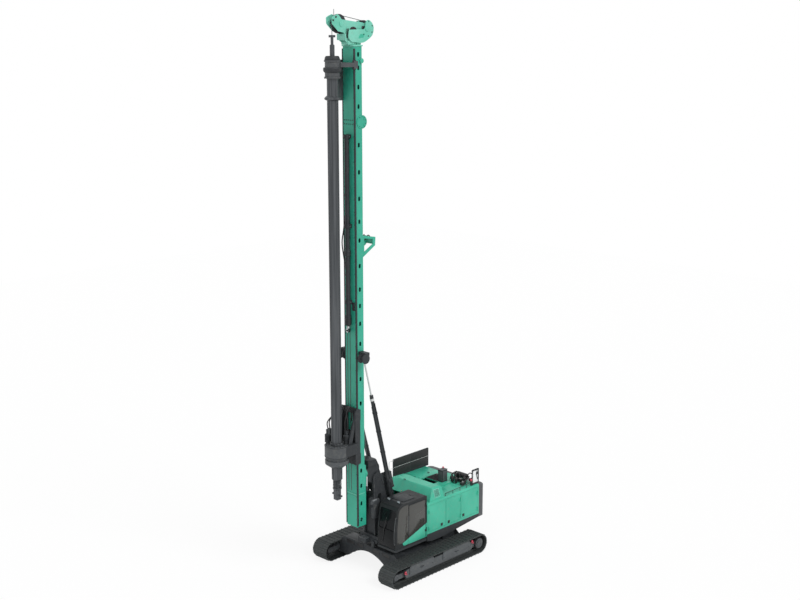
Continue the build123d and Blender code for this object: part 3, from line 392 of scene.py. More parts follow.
def add_tube(shape, path, radius, steps=10):
    """A round tube along a path of points, closed at its ends."""
    path = [Vector(p) for p in path]
    forward = [(path[min(i + 1, len(path) - 1)] - path[max(i - 1, 0)]).normalized() for i in range(len(path))]
    side = forward[0].orthogonal().normalized()
    rings = []
    for point, ahead in zip(path, forward):
        side = (side - ahead * side.dot(ahead)).normalized()
        up = ahead.cross(side)
        rings.append([shape.verts.new(point + radius * (math.cos(a) * side + math.sin(a) * up))
                      for a in round_angles(steps)])
    for low, high in zip(rings, rings[1:]):
        join_rings(shape, low, high)
    shape.faces.new(rings[0][::-1])
    shape.faces.new(rings[-1])


def finished_mesh(name, shape, sharp_degrees):
    """The mesh of a shape, its normals outward and its faces smooth up to an angle."""
    bmesh.ops.recalc_face_normals(shape, faces=shape.faces)
    mesh = bpy.data.meshes.new(name)
    shape.to_mesh(mesh)
    shape.free()
    mesh.shade_smooth()
    mesh.set_sharp_from_angle(angle=math.radians(sharp_degrees))
    return mesh


def make_piece(name, shape, material, body=None):
    """The finished piece of a shape, on its body if one is given."""
    mesh = finished_mesh(name, shape, 35)
    mesh.materials.append(material)
    made = bpy.data.objects.new(name, mesh)
    scene.collection.objects.link(made)
    if body:
        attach(made, body)
    return made


def axes(origin, u, v):
    """Matrix whose first two axes are u and v, at the origin."""
    u, v = Vector(u).normalized(), Vector(v).normalized()
    return Matrix.Translation(origin) @ Matrix((u, v, u.cross(v))).transposed().to_4x4()


# %% [markdown]
# ## Many copies of one small part
#
# Bolts and louvre slats come by the hundred. A Geometry Nodes group puts a copy of one small part on every point of a
# cloud and turns it by the rotation stored with the point. The copies are realized and become a plain mesh, so the
# piece can travel with its body like any other.


# %% The group that places copies
def build_copy_group():
    """The node group: points, part, size and finish in, copies out."""
    group = bpy.data.node_groups.new("copies_on_points", "GeometryNodeTree")
    for name, kind in (("Points", "NodeSocketGeometry"), ("Part", "NodeSocketObject"),
                       ("Size", "NodeSocketFloat"), ("Finish", "NodeSocketMaterial")):
        group.interface.new_socket(name, in_out="INPUT", socket_type=kind)
    group.interface.new_socket("Copies", in_out="OUTPUT", socket_type="NodeSocketGeometry")
    given = add_node(group, "NodeGroupInput")
    part = add_node(group, "GeometryNodeObjectInfo", {"Object": given.outputs["Part"]})
    stored = add_node(group, "GeometryNodeInputNamedAttribute", {"Name": "turn"}, data_type="FLOAT_VECTOR")
    turn = add_node(group, "FunctionNodeEulerToRotation", {"Euler": stored.outputs["Attribute"]})
    placed = add_node(group, "GeometryNodeInstanceOnPoints",
                      {"Points": given.outputs["Points"], "Instance": part.outputs["Geometry"],
                       "Rotation": turn.outputs["Rotation"], "Scale": given.outputs["Size"]})
    real = add_node(group, "GeometryNodeRealizeInstances", {"Geometry": placed.outputs["Instances"]})
    finished = add_node(group, "GeometryNodeSetMaterial",
                        {"Geometry": real.outputs["Geometry"], "Material": given.outputs["Finish"]})
    add_node(group, "NodeGroupOutput", {"Copies": finished.outputs["Geometry"]})
    return group


copy_group = build_copy_group()


def place_copies(name, part, spots, material, body, size=1.0):
    """Copies of a hidden part at spots of (place, axis, roll), as one plain mesh on a body."""
    cloud = bpy.data.meshes.new(name)
    cloud.from_pydata([tuple(spot[0]) for spot in spots], [], [])
    turns = cloud.attributes.new("turn", "FLOAT_VECTOR", "POINT")
    for i, (place, axis, roll) in enumerate(spots):
        turned = Vector(axis).to_track_quat("Z", "Y") @ Matrix.Rotation(roll, 3, "Z").to_quaternion()
        turns.data[i].vector = turned.to_euler()
    carrier = bpy.data.objects.new(name, cloud)
    scene.collection.objects.link(carrier)
    modifier = carrier.modifiers.new("copies", "NODES")
    modifier.node_group = copy_group
    for item in copy_group.interface.items_tree:
        if item.item_type == "SOCKET" and item.in_out == "INPUT" and item.name in ("Part", "Size", "Finish"):
            modifier[item.identifier] = {"Part": part, "Size": size, "Finish": material}[item.name]
    seen = bpy.context.evaluated_depsgraph_get()
    mesh = bpy.data.meshes.new_from_object(carrier.evaluated_get(seen))
    carrier.modifiers.remove(modifier)
    carrier.data = mesh
    mesh.name = name
    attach(carrier, body)


def small_part(name, shape):
    """A part that only serves as the pattern of copies: it is kept out of the scene."""
    return bpy.data.objects.new(name, finished_mesh(name, shape, 30))


shape = bmesh.new()
add_turned(shape, disc(1.05, 0.16, -0.004), (0, 0, 0), steps=14)
add_turned(shape, ((0.0, 0.16), (0.86, 0.16), (0.86, 0.62), (0.74, 0.72), (0.0, 0.72)), (0, 0, 0), steps=6)
hex_bolt = small_part("hex_bolt", shape)


def circle_spots(centre, axis, radius, count, start=0.0):
    """Spots evenly round a circle, all facing along its axis."""
    turn = Vector(axis).to_track_quat("Z", "Y").to_matrix()
    return [(Vector(centre) + turn @ Vector((radius * math.cos(a), radius * math.sin(a), 0)), axis, a)
            for a in round_angles(count, start)]


def row_spots(first, last, count, axis):
    """Spots evenly along a line from first to last."""
    first, last = Vector(first), Vector(last)
    return [(first.lerp(last, i / max(count - 1, 1)), axis, 0.3) for i in range(count)]


print("helpers ready")

# %% [markdown]
# ## Rubber, zinc, rope and small colours
#
# Hoses are black rubber with a fine grain, bolts are dark or zinc plated and dulled, and ropes are greased steel: the
# strands show as a fine slanted pattern in the colour. The small colours are plain moulded or sprayed parts.


# %% Finishes of the small parts
def plain_finish(name, code, roughness, metallic=0.0, grain_mm=30, grain=0.12):
    """One colour with a fine grain in its colour and surface."""
    material, tree, shader = new_material(name)
    grains = noise(tree, object_space(tree), grain_mm, 5.0)
    dark = [c * (1 - grain) for c in paint(code)[:3]] + [1.0]
    set_inputs(tree, shader, {"Base Color": mix_paints(tree, grains, code, dark),
                              "Normal": bumps(tree, grains, 0.2, 0.001),
                              "Roughness": roughness, "Metallic": metallic})
    return material


def wire_rope():
    """Greased steel rope: its strands are the slanted bands of a wave."""
    material, tree, shader = new_material("wire_rope")
    wave = add_node(tree, "ShaderNodeTexWave", {"Vector": object_space(tree), "Scale": 1000 / 45, "Distortion": 0.4},
                    bands_direction="DIAGONAL")
    set_inputs(tree, shader, {"Base Color": mix_paints(tree, wave.outputs["Fac"], "#3C3E3F", "#7C8082"),
                              "Metallic": 0.6, "Roughness": 0.45})
    return material


def perforated_sheet():
    """Black sheet with rows of punched holes, 30 mm apart, as a change of colour."""
    material, tree, shader = new_material("perforated_sheet")
    cells = add_node(tree, "ShaderNodeTexVoronoi",
                     {"Vector": object_space(tree), "Scale": 1000 / 30, "Randomness": 0.0})
    hole = spread(tree, cells.outputs["Distance"], 0.28, 0.34)
    set_inputs(tree, shader, {"Base Color": mix_paints(tree, hole, "#0B0B0C", "#1D1D1E"), "Roughness": 0.7})
    return material


black_rubber = plain_finish("black_rubber", "#1C1D1F", 0.62, grain_mm=6)
# This black finish serves the plastic parts and also the black plates that are painted shade in openings, holes and
# behind slats.
black_plastic_and_shade = plain_finish("black_plastic_and_shade", "#1B1B1C", 0.5, grain_mm=12)
zinc = plain_finish("zinc", "#A4A6A4", 0.4, metallic=0.8, grain_mm=20)
dark_bolt = plain_finish("dark_bolt", "#2E3134", 0.5, metallic=0.4, grain_mm=20)
red_paint = plain_finish("red_paint", "#C8485A", 0.4, grain_mm=60)
light_grey = plain_finish("light_grey_enamel", "#C9CBCA", 0.42, grain_mm=120)
mid_grey = plain_finish("mid_grey_enamel", "#7D8184", 0.45, grain_mm=120)
lamp_glass = plain_finish("lamp_glass", "#A9B2B8", 0.12, grain_mm=40, grain=0.05)
pale_sheet = plain_finish("pale_sheet", "#E6E8E8", 0.3, grain_mm=200, grain=0.04)
rope_steel = wire_rope()
punched = perforated_sheet()

# %% [markdown]
# ## Bolts, flange by flange
#
# One table says where every ring and row of bolts sits: on which body, how large, and facing which way.

# %% Bolt rings and rows
BAR_Y, MAST_FRONT = -3.363, -2.610


def mast_rows(heights, behind=0.0):
    """Rows of five bolts across the mast's front, or a little behind it."""
    y = MAST_FRONT + behind
    return [spot for z in heights for spot in row_spots((-0.21, y, z), (0.21, y, z), 5, FORWARD)]


bolt_table = []
for side in (-1, 1):
    out = (side, 0, 0)
    lobe_spots = circle_spots((side * 0.290, -2.235, 17.2), out, 0.19, 10, 0.31)
    bolt_table += [
        ("hub_bolts", dark_bolt, "undercarriage", 0.016, circle_spots((side * 2.145, 2.3, 0.4), out, 0.135, 12)),
        ("idler_bolts", dark_bolt, "undercarriage", 0.014, circle_spots((side * 2.026, -2.3, 0.4), out, 0.065, 6)),
        ("track_cover_bolts", dark_bolt, "undercarriage", 0.012,
         [spot for rear, front in ((-1.8, -0.14), (0.14, 1.8))
          for spot in row_spots((side * 2.086, rear, 0.555), (side * 2.086, front, 0.555), 8, out)]),
        ("journal_bolts", dark_bolt, "upper_body", 0.014, circle_spots((side * 0.335, -1.565, 3.7), out, 0.045, 6)),
        ("lobe_bolts", dark_bolt, "mast", 0.016, lobe_spots[:4] + lobe_spots[6:]),
        ("cathead_bolts", dark_bolt, "mast", 0.022, circle_spots((side * 0.222, -1.88, 20.43), out, 0.26, 7, 0.4)),
        ("carriage_side_bolts", dark_bolt, "carriage", 0.013,
         row_spots((side * 0.383, -2.66, 4.75), (side * 0.383, -2.66, 6.45), 9, out)),
    ]
bolt_table += [
    ("ring_bolts", dark_bolt, "carriage", 0.018, circle_spots((0, BAR_Y, 5.42), UP, 0.40, 24, 0.1)),
    ("disc_bolts", dark_bolt, "carriage", 0.014, circle_spots((0, BAR_Y, 4.85), UP, 0.42, 24)),
    ("sleeve_bolts", zinc, "drive_sleeve", 0.013, circle_spots((0, BAR_Y, 5.5), UP, 0.2375, 12)),
    ("guide_top_bolts", dark_bolt, "bar_guide", 0.014, circle_spots((0, BAR_Y, 19.37), UP, 0.268, 16)),
    ("guide_low_bolts", dark_bolt, "bar_guide", 0.014, circle_spots((0, BAR_Y, 18.75), DOWN, 0.268, 16)),
    ("fold_joint_bolts", dark_bolt, "mast", 0.020, mast_rows((17.27, 17.13))),
    ("foot_joint_bolts", dark_bolt, "mast", 0.018, mast_rows((3.335, 3.235), 0.007)),
    ("crowd_bolts", zinc, "mast", 0.014,
     [(Vector((side * 0.115, -2.69, z)), (side, 0, 0), 0.2) for z in (10.7, 13.5, 16.7) for side in (-1, 1)]),
    ("rail_bolts", dark_bolt, "mast", 0.012,
     [(Vector((side * 0.252, MAST_FRONT, 2.3 + 0.45 * i)), FORWARD, 0.2) for side in (-1, 1) for i in range(39)]),
]
for i, (name, material, body, size, spots) in enumerate(bolt_table):
    place_copies(f"{name}_{i}", hex_bolt, spots, material, body, size)
print("bolts:", sum(len(row[-1]) for row in bolt_table))

# %% [markdown]
# ## Ropes
#
# The hoist rope runs from the winch to the back of the mast, up behind it, over the two sheaves and down to the
# swivel of the bar. The runs from one body to the next are straight pieces that ride on neither body.

# %% Hoist rope, turns on the drum and swivel socket
ROPE_RADIUS = 0.012
front_centre, rear_centre = Vector((0, -3.063, 20.6)), Vector((0, -1.88, 20.43))
FRONT_GROOVE, REAR_GROOVE = 0.302, 0.262


def arc_points(centre, radius, first, last, count=14):
    """Points on an arc in the plane of the mast, angles from +Y towards +Z."""
    return [centre + radius * Vector((0, math.cos(a), math.sin(a)))
            for a in (math.radians(first + (last - first) * i / (count - 1)) for i in range(count))]


def straight(start, end, count=24):
    """Points evenly along a straight run."""
    return [Vector(start).lerp(Vector(end), i / count) for i in range(count + 1)]


def rope_piece(name, path, body, radius=ROPE_RADIUS):
    """A run of rope on a body; a run between two bodies is baked where it lies and rides on neither."""
    shape = bmesh.new()
    add_tube(shape, path, radius, 8)
    made = make_piece(name, shape, rope_steel, body if isinstance(body, str) else None)
    if not isinstance(body, str):
        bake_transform(made)


mast_guide, block_mouth = Vector((0, rear_centre.y - REAR_GROOVE, 6.6)), Vector((0, -1.80, 4.47))
block_exit, drum_top = Vector((0, -1.38, 4.10)), Vector((0.05, -0.44, 1.86))
sheave_exit, swivel_top = front_centre + Vector((0, -FRONT_GROOVE, 0)), Vector((0, -3.363, 20.18))
over_sheaves = arc_points(rear_centre, REAR_GROOVE, 180, 90) + arc_points(front_centre, FRONT_GROOVE, 90, 180)
rope_piece("hoist_rope_mast", straight(mast_guide, (0, mast_guide.y, 20.35), 12) + over_sheaves, "mast")
rope_piece("hoist_rope_crossing", straight(block_mouth, mast_guide), ("cardan_block", "mast"))
rope_piece("hoist_rope_lower", straight(drum_top, block_exit), ("upper_body", "cardan_block"))
rope_piece("hoist_rope_hanging", straight(sheave_exit, swivel_top), ("mast", "bar_guide"))
rope_piece("hoist_rope_end", straight(swivel_top - Vector((0, 0, 0.02)), (0, swivel_top.y, 20.58), 4), "inner_bar",
           0.0115)
print("rope from winch to block:", round((block_exit - drum_top).length, 2), "m")

shape = bmesh.new()
for height in (6.6, 10.4, 15.2):
    add_block(shape, (0, mast_guide.y + 0.010, height), (0.12, 0.075, 0.05), 0.010)
    add_block(shape, (0, -2.195, height), (0.20, 0.05, 0.12), 0.010)
make_piece("rope_guides", shape, dark_enamel, "mast")

DRUM_Y, DRUM_Z, DRUM_HALF, DRUM_RADIUS = -0.245, 1.76, 0.21, 0.212
DRUM_WRAPS, DRUM_STEPS = 15, 300
helix = []
for t in (i / DRUM_STEPS for i in range(DRUM_STEPS + 1)):
    a = 2 * math.pi * DRUM_WRAPS * t
    helix.append((-DRUM_HALF + 2 * DRUM_HALF * t, DRUM_Y + DRUM_RADIUS * math.cos(a),
                  DRUM_Z + DRUM_RADIUS * math.sin(a)))
shape = bmesh.new()
add_tube(shape, helix, ROPE_RADIUS, 6)
make_piece("rope_on_drum", shape, rope_steel, "winch_drum")

# %% [markdown]
# ## Crawlers
#
# Each crawler's side shows two long bolted panels over the rollers, the bolted cap of the final drive at the rear,
# the idler's cap at the front and two red rings for tying the machine down. The panels are plates cut to an outline
# with rounded corners and a broken edge. The chain bolts on the shoes repeat at the shoe pitch along the loop, so
# they are copies placed along it.

# %% Outlines and rings
def rounded(outline, radius, steps=5):
    """The outline with every corner rounded by a short curve."""
    points = []
    for i, corner in enumerate(outline):
        corner = Vector(corner)
        before, after = Vector(outline[i - 1]) - corner, Vector(outline[(i + 1) % len(outline)]) - corner
        reach = min(radius, before.length * 0.45, after.length * 0.45)
        start, end = corner + before.normalized() * reach, corner + after.normalized() * reach
        for k in range(steps + 1):
            t = k / steps
            points.append(tuple((1 - t) ** 2 * start + 2 * t * (1 - t) * corner + t * t * end))
    return points


def rectangle(u0, u1, v0, v1):
    """Corners of a rectangle between two values on each axis."""
    return [(u0, v0), (u1, v0), (u1, v1), (u0, v1)]


def side_plane(x):
    """Matrix of the plane at x: outlines are (y, z) and the thickness points to +X."""
    return axes((x, 0, 0), (0, 1, 0), (0, 0, 1))


def front_plane(y):
    """Matrix of the plane at y: outlines are (x, z) and the thickness points to -Y."""
    return axes((0, y, 0), (1, 0, 0), (0, 0, 1))


def top_plane(z):
    """Matrix of the plane at z: outlines are (x, y) and the thickness points up."""
    return axes((0, 0, z), (1, 0, 0), (0, 1, 0))


def add_ring(shape, centre, axis, radius, wire, steps=28, sides=8):
    """A round ring of round wire."""
    turn = Vector(axis).to_track_quat("Z", "Y").to_matrix()
    up = turn @ Vector(UP)
    rings = []
    for a in round_angles(steps):
        out = turn @ Vector((math.cos(a), math.sin(a), 0))
        rings.append([shape.verts.new(Vector(centre) + out * (radius + wire * math.cos(b)) + up * wire * math.sin(b))
                      for b in round_angles(sides)])
    for low, high in zip(rings, rings[1:] + rings[:1]):
        join_rings(shape, low, high)


# %% Covers, caps and tie-down rings
TRACK_X, AXLE_Y, AXLE_Z = 1.825, 2.3, 0.4
DRIVE_CAP = ((0.0, 0.0), (0.205, 0.0), (0.205, 0.028), (0.190, 0.036), (0.150, 0.036), (0.142, 0.060), (0.085, 0.066),
             (0.078, 0.052), (0.0, 0.052))
IDLER_CAP = ((0.0, 0.0), (0.125, 0.0), (0.125, 0.022), (0.105, 0.034), (0.055, 0.036), (0.050, 0.028), (0.0, 0.028))
covers, caps, tie_downs, handles = bmesh.new(), bmesh.new(), bmesh.new(), bmesh.new()
cover_bolts = []
for side in (-1, 1):
    out = (side, 0, 0)
    for low, high in ((-1.67, -0.36), (0.17, 1.72)):
        middle = (low + high) / 2
        panel = [(low, 0.34), (high - 0.26, 0.30), (high, 0.44), (high, 0.66), (high - 0.05, 0.69), (low + 0.05, 0.69),
                 (low, 0.66)]
        add_plate(covers, rounded(panel, 0.03), side * 0.022, side_plane(side * 2.113), edge=0.006)
        cover_bolts += [((side * 2.135, y, z), out, 0.4) for z in (0.46, 0.655)
                        for y in (low + 0.06, middle, high - 0.06)]
        bow = ((2.133, -0.09), (2.160, -0.085), (2.160, 0.085), (2.133, 0.09))
        add_tube(handles, [(side * x, middle + y, 0.5) for x, y in bow], 0.009, 8)
    add_turned(caps, DRIVE_CAP, (side * 2.095, AXLE_Y, AXLE_Z), out, 40)
    add_turned(caps, IDLER_CAP, (side * 2.022, -AXLE_Y, AXLE_Z), out, 40)
    for y, z in ((-1.89, 0.47), (1.88, 0.57)):
        add_ring(tie_downs, (side * 2.128, y, z), (0.3, 0.15, 1.0), 0.052, 0.015)
        add_block(tie_downs, (side * 2.118, y, z + 0.05), (0.045, 0.075, 0.06), 0.010)
make_piece("roller_covers", covers, panel_enamel, "undercarriage")
make_piece("axle_caps", caps, grey_enamel, "undercarriage")
make_piece("tie_down_rings", tie_downs, red_paint, "undercarriage")
make_piece("cover_handles", handles, dark_enamel, "undercarriage")
place_copies("cover_bolts", hex_bolt, cover_bolts, dark_bolt, "undercarriage", 0.014)
print("covers with", len(cover_bolts), "bolts")

# %% Bolts of every shoe
SHOE_COUNT, LOOP_RADIUS, STRAIGHT = 56, 0.375, 4.6
loop_length = 2 * STRAIGHT + 2 * math.pi * LOOP_RADIUS


def on_end(y, a):
    """Point and outward normal at the angle a of the half circle round y."""
    return (y + LOOP_RADIUS * math.cos(a), AXLE_Z + LOOP_RADIUS * math.sin(a)), (math.cos(a), math.sin(a))


def on_loop(s):
    """Point (y, z) and outward normal of the shoe path at distance s from the rear end of the lower run."""
    arc = math.pi * LOOP_RADIUS
    if s < STRAIGHT:
        return (STRAIGHT / 2 - s, AXLE_Z - LOOP_RADIUS), (0, -1)
    if s < STRAIGHT + arc:
        return on_end(-STRAIGHT / 2, -math.pi / 2 - (s - STRAIGHT) / LOOP_RADIUS)
    if s < 2 * STRAIGHT + arc:
        return (-STRAIGHT / 2 + s - STRAIGHT - arc, AXLE_Z + LOOP_RADIUS), (0, 1)
    return on_end(STRAIGHT / 2, math.pi / 2 - (s - 2 * STRAIGHT - arc) / LOOP_RADIUS)


shoe_bolts = []
pitch = loop_length / SHOE_COUNT
for side in (-1, 1):
    for i in range(SHOE_COUNT):
        (y, z), (ny, nz) = on_loop((i + 0.5) * pitch)
        shoe_bolts += [((side * TRACK_X + x, y + along * nz, z - along * ny), (0, ny, nz), 0.3)
                       for along in (-0.048, 0.048) for x in (-0.085, 0.085)]
place_copies("shoe_bolts", hex_bolt, shoe_bolts, dark_bolt, "undercarriage", 0.013)
print("shoe bolts:", len(shoe_bolts))

# %% [markdown]
# ## Nose of the upper body
#
# In front of the turning frame sits a step box with a ribbed tread on top, and the cab stands on a base with rounded
# corners. The slewing ring is held by a circle of bolts.

# %% Step box, cab base, ring bolts
shape = bmesh.new()
add_block(shape, (-0.08, -1.86, 1.20), (0.38, 0.34, 0.17), 0.016)
add_block(shape, (0.0, -1.765, 1.20), (0.98, 0.04, 0.14), 0.012)
for x in (-0.42, 0.30):
    add_block(shape, (x, -1.80, 1.10), (0.14, 0.10, 0.24), 0.015)
make_piece("step_box", shape, dark_enamel, "upper_body")
shape = bmesh.new()
add_block(shape, (-0.08, -1.86, 1.288), (0.36, 0.33, 0.012), 0.004)
for i in range(11):
    add_block(shape, (-0.08, -2.005 + 0.029 * i, 1.297), (0.33, 0.008, 0.010), 0.002)
make_piece("step_tread", shape, panel_enamel, "upper_body")
shape = bmesh.new()
add_plate(shape, rounded(rectangle(0.505, 1.495, -1.795, -0.06), 0.05), 0.085, top_plane(1.068), edge=0.010)
make_piece("cab_base", shape, dark_enamel, "upper_body")
slewing_bolts = circle_spots((0, 0, 1.0), UP, 0.765, 48)
place_copies("slewing_bolts", hex_bolt, slewing_bolts, dark_bolt, "undercarriage", 0.018)
print("slewing bolts:", len(slewing_bolts))

# %% [markdown]
# ## The cab from outside
#
# The cab's side is one large flush pane of brownish safety glass with a thin black seam where the door begins, and
# below it a painted wedge that rises towards the rear. The panes are glued on the outside of the frames, so they are
# thin plates just proud of the steel. A gutter runs along the roof's edge, and a handrail, a wiper and two lamps are
# bent tubes and turned parts.

# %% Flush panes, wedge and seals
PANE_X = 1.4815
front_pane = [(-1.695, 1.36), (-1.40, 1.36), (-1.085, 1.462), (-1.085, 2.815), (-1.355, 2.825), (-1.535, 2.75),
              (-1.615, 2.64), (-1.700, 1.95)]
door_pane = [(-1.052, 1.474), (-0.165, 1.772), (-0.165, 2.762), (-1.052, 2.762)]
wedge_tip = [(-1.40, 1.315), (-1.33, 1.228), (-1.070, 1.224), (-1.070, 1.452), (-1.375, 1.352)]
wedge_door = [(-1.058, 1.224), (-0.135, 1.224), (-0.135, 1.766), (-1.058, 1.457)]
wedge_rear = [(-0.104, 1.224), (-0.060, 1.224), (-0.060, 1.790), (-0.104, 1.775)]
pane_table = (
    ("front_side_pane", front_pane, tinted, "upper_body", 0.05),
    ("door_pane", door_pane, tinted, "cab_door", 0.05),
    ("wedge_tip", wedge_tip, teal_enamel, "upper_body", 0.012),
    ("wedge_door", wedge_door, teal_enamel, "cab_door", 0.02),
    ("wedge_rear", wedge_rear, teal_enamel, "upper_body", 0.006),
)
for name, outline, material, body, radius in pane_table:
    shape = bmesh.new()
    add_plate(shape, rounded(outline, radius), 0.007, side_plane(PANE_X), edge=0.002)
    make_piece(name, shape, material, body)
for name, outline, body in (("front_pane_seal", front_pane, "upper_body"), ("door_pane_seal", door_pane, "cab_door")):
    shape = bmesh.new()
    path = [(PANE_X + 0.004, y, z) for y, z in rounded(outline, 0.05)]
    add_tube(shape, path + path[:1], 0.007, 6)
    make_piece(name, shape, black_rubber, body)
shape = bmesh.new()
add_plate(shape, rounded(rectangle(0.555, 1.445, 1.20, 1.885), 0.04), 0.006, front_plane(-1.7705), edge=0.002)
make_piece("low_screen", shape, glass, "upper_body")
print("panes on the cab's side and front")

# %% Gutter, rails, wiper, lamps and roof hatch
GUTTER_X, LAMP_X = 1.478, (0.74, 1.26)
shape = bmesh.new()
gutter = [(-0.07, 2.875), (-1.34, 2.875), (-1.545, 2.81), (-1.645, 2.68), (-1.745, 2.0), (-1.758, 1.90), (-1.758, 1.25)]
add_tube(shape, smooth_path([(GUTTER_X, y, z) for y, z in gutter], 4), 0.012, 8)
add_tube(shape, [(1.44, -1.590, 2.835), (0.56, -1.590, 2.835)], 0.010, 8)
make_piece("roof_gutter", shape, black_rubber, "upper_body")
shape = bmesh.new()
front_rail = [(-1.775, 1.40), (-1.830, 1.43), (-1.832, 1.9), (-1.755, 2.42), (-1.700, 2.44)]
add_tube(shape, smooth_path([(1.462, y, z) for y, z in front_rail], 6), 0.011, 8)
door_rail = [(1.505, 1.62), (1.535, 1.66), (1.535, 2.30), (1.505, 2.34)]
add_tube(shape, smooth_path([(x, -1.12, z) for x, z in door_rail], 5), 0.010, 8)
make_piece("cab_handrails", shape, panel_enamel, "upper_body")
shape = bmesh.new()
add_turned(shape, cap(0.026, 0.03, 0.012, 0.038), (0.78, -1.772, 1.36), FORWARD, 16)
add_tube(shape, [(0.78, -1.802, 1.36), (0.86, -1.806, 1.70), (0.92, -1.797, 2.05)], 0.008, 6)
add_tube(shape, [(0.84, -1.799, 1.74), (0.985, -1.763, 2.36)], 0.011, 6)
make_piece("wiper", shape, black_plastic_and_shade, "upper_body")
shape = bmesh.new()
add_plate(shape, rounded(rectangle(0.68, 1.32, -1.20, -0.55), 0.07), 0.022, top_plane(2.898), edge=0.008)
add_block(shape, (1.0, -0.50, 2.915), (0.10, 0.05, 0.03), 0.006)
for x in LAMP_X:
    add_block(shape, (x, -1.36, 2.935), (0.16, 0.05, 0.10), 0.012)
make_piece("roof_hatch", shape, dark_enamel, "upper_body")
shape = bmesh.new()
for x in LAMP_X:
    lens = rounded(rectangle(x - 0.065, x + 0.065, 2.898, 2.972), 0.012)
    add_plate(shape, lens, 0.006, front_plane(-1.385), edge=0.002)
make_piece("roof_lamps", shape, lamp_glass, "upper_body")
print("cab trimmed")

# %% [markdown]
# ## Inside the cab
#
# Through the dark glass one sees a seat with a crowned cushion, two consoles with levers and a display. Cushion and
# back start as slightly smaller blocks, are remeshed to an even skin and swell under pressure in a short cloth
# simulation, so their faces crown and their sides pull in between the corners.

# %% Seat cushions by a short cloth simulation
def swollen_pad(name, outline_place, outline, thickness, swell, body):
    """A pad cut to an outline, remeshed, blown up a little, smoothed and capped at a distance."""
    shape = bmesh.new()
    add_plate(shape, rounded(outline, 0.05), thickness, outline_place)
    bmesh.ops.recalc_face_normals(shape, faces=shape.faces)
    mesh = bpy.data.meshes.new(name)
    shape.to_mesh(mesh)
    shape.free()
    pad = bpy.data.objects.new(name, mesh)
    scene.collection.objects.link(pad)
    remesh = pad.modifiers.new("even_skin", "REMESH")
    remesh.mode = "VOXEL"
    remesh.voxel_size = 0.012
    seen = bpy.context.evaluated_depsgraph_get()
    pad.data = bpy.data.meshes.new_from_object(pad.evaluated_get(seen))
    pad.modifiers.clear()
    start = [v.co.copy() for v in pad.data.vertices]
    cloth = pad.modifiers.new("swell", "CLOTH")
    cloth.settings.use_pressure = True
    cloth.settings.uniform_pressure_force = 4.0
    cloth.settings.effector_weights.gravity = 0.0
    cloth.settings.quality = 3
    cloth.point_cache.frame_end = 20
    for step in range(1, 21):
        scene.frame_set(step)
    seen = bpy.context.evaluated_depsgraph_get()
    grown = pad.evaluated_get(seen).data
    for vertex, moved, first in zip(pad.data.vertices, grown.vertices, start):
        shift = moved.co - first
        vertex.co = first + shift * min(1.0, swell / max(shift.length, 1e-6))
    pad.modifiers.clear()
    scene.frame_set(1)
    smooth = pad.modifiers.new("round", "SMOOTH")
    smooth.iterations = 4
    finer = pad.modifiers.new("fine", "SUBSURF")
    finer.levels = finer.render_levels = 1
    seen = bpy.context.evaluated_depsgraph_get()
    pad.data = bpy.data.meshes.new_from_object(pad.evaluated_get(seen))
    pad.modifiers.clear()
    pad.data.name = name
    pad.data.materials.clear()
    pad.data.materials.append(seat_cloth)
    pad.data.shade_smooth()
    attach(pad, body)
    return pad


cushion = swollen_pad("seat_cushion", top_plane(1.545), rectangle(0.775, 1.225, -0.935, -0.475), 0.09, 0.016,
                      "upper_body")
back_rest = swollen_pad("seat_back", front_plane(-0.462), [(0.785, 1.67), (1.215, 1.67), (1.175, 2.27), (0.825, 2.27)],
                        0.08, 0.016, "upper_body")
shape = bmesh.new()
add_plate(shape, rounded(rectangle(0.77, 1.23, -0.94, -0.47), 0.05), 0.05, top_plane(1.49), edge=0.01)
for z in (1.24, 1.29, 1.34, 1.39, 1.44):
    add_plate(shape, rounded(rectangle(0.84, 1.16, -0.88, -0.54), 0.06), 0.03, top_plane(z), edge=0.012)
    add_plate(shape, rounded(rectangle(0.86, 1.14, -0.86, -0.56), 0.06), 0.022, top_plane(z + 0.029))
add_plate(shape, rounded(rectangle(0.80, 1.20, 1.60, 2.25), 0.04), 0.02, front_plane(-0.442), edge=0.006)
make_piece("seat_base", shape, black_plastic_and_shade, "upper_body")
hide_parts("cab_seat")
print("cushion faces:", len(cushion.data.polygons), "back faces:", len(back_rest.data.polygons))

# %% Consoles, levers, display and pedals
LEVER = ((0.030, 0.0), (0.022, 0.03), (0.008, 0.05), (0.008, 0.13), (0.020, 0.15), (0.022, 0.22), (0.012, 0.25),
         (0.0, 0.252))
shape = bmesh.new()
for x in (0.66, 1.34):
    add_block(shape, (x, -0.72, 1.68), (0.13, 0.52, 0.16), 0.025)
    add_block(shape, (x, -0.62, 1.40), (0.10, 0.24, 0.40), 0.02)
    add_turned(shape, LEVER, (x, -0.90, 1.755), UP, 14)
add_block(shape, (0.68, -1.40, 1.86), (0.05, 0.30, 0.20), 0.015)
add_tube(shape, [(0.62, -1.45, 1.25), (0.64, -1.42, 1.60), (0.67, -1.40, 1.80)], 0.018, 8)
for x in (0.88, 1.02, 1.16):
    add_block(shape, (x, -1.45, 1.27), (0.09, 0.20, 0.02), 0.006, Matrix.Rotation(-0.5, 4, "X"))
make_piece("cab_controls", shape, black_plastic_and_shade, "upper_body")
shape = bmesh.new()
add_plate(shape, rounded(rectangle(-1.53, -1.27, 1.78, 1.94), 0.01), 0.004, side_plane(0.7055), edge=0.001)
make_piece("cab_display", shape, lamp_glass, "upper_body")
print("cab furnished")

# %% [markdown]
# ## Housing and deck
#
# The side doors have square black latches. The duct behind the cab ends in a louvred vent, the deck carries a grey
# control box with a red lamp, a group of filters, valves and pipes at the rear left, a framed bright sheet, and black
# panels in the guard rail's frame.

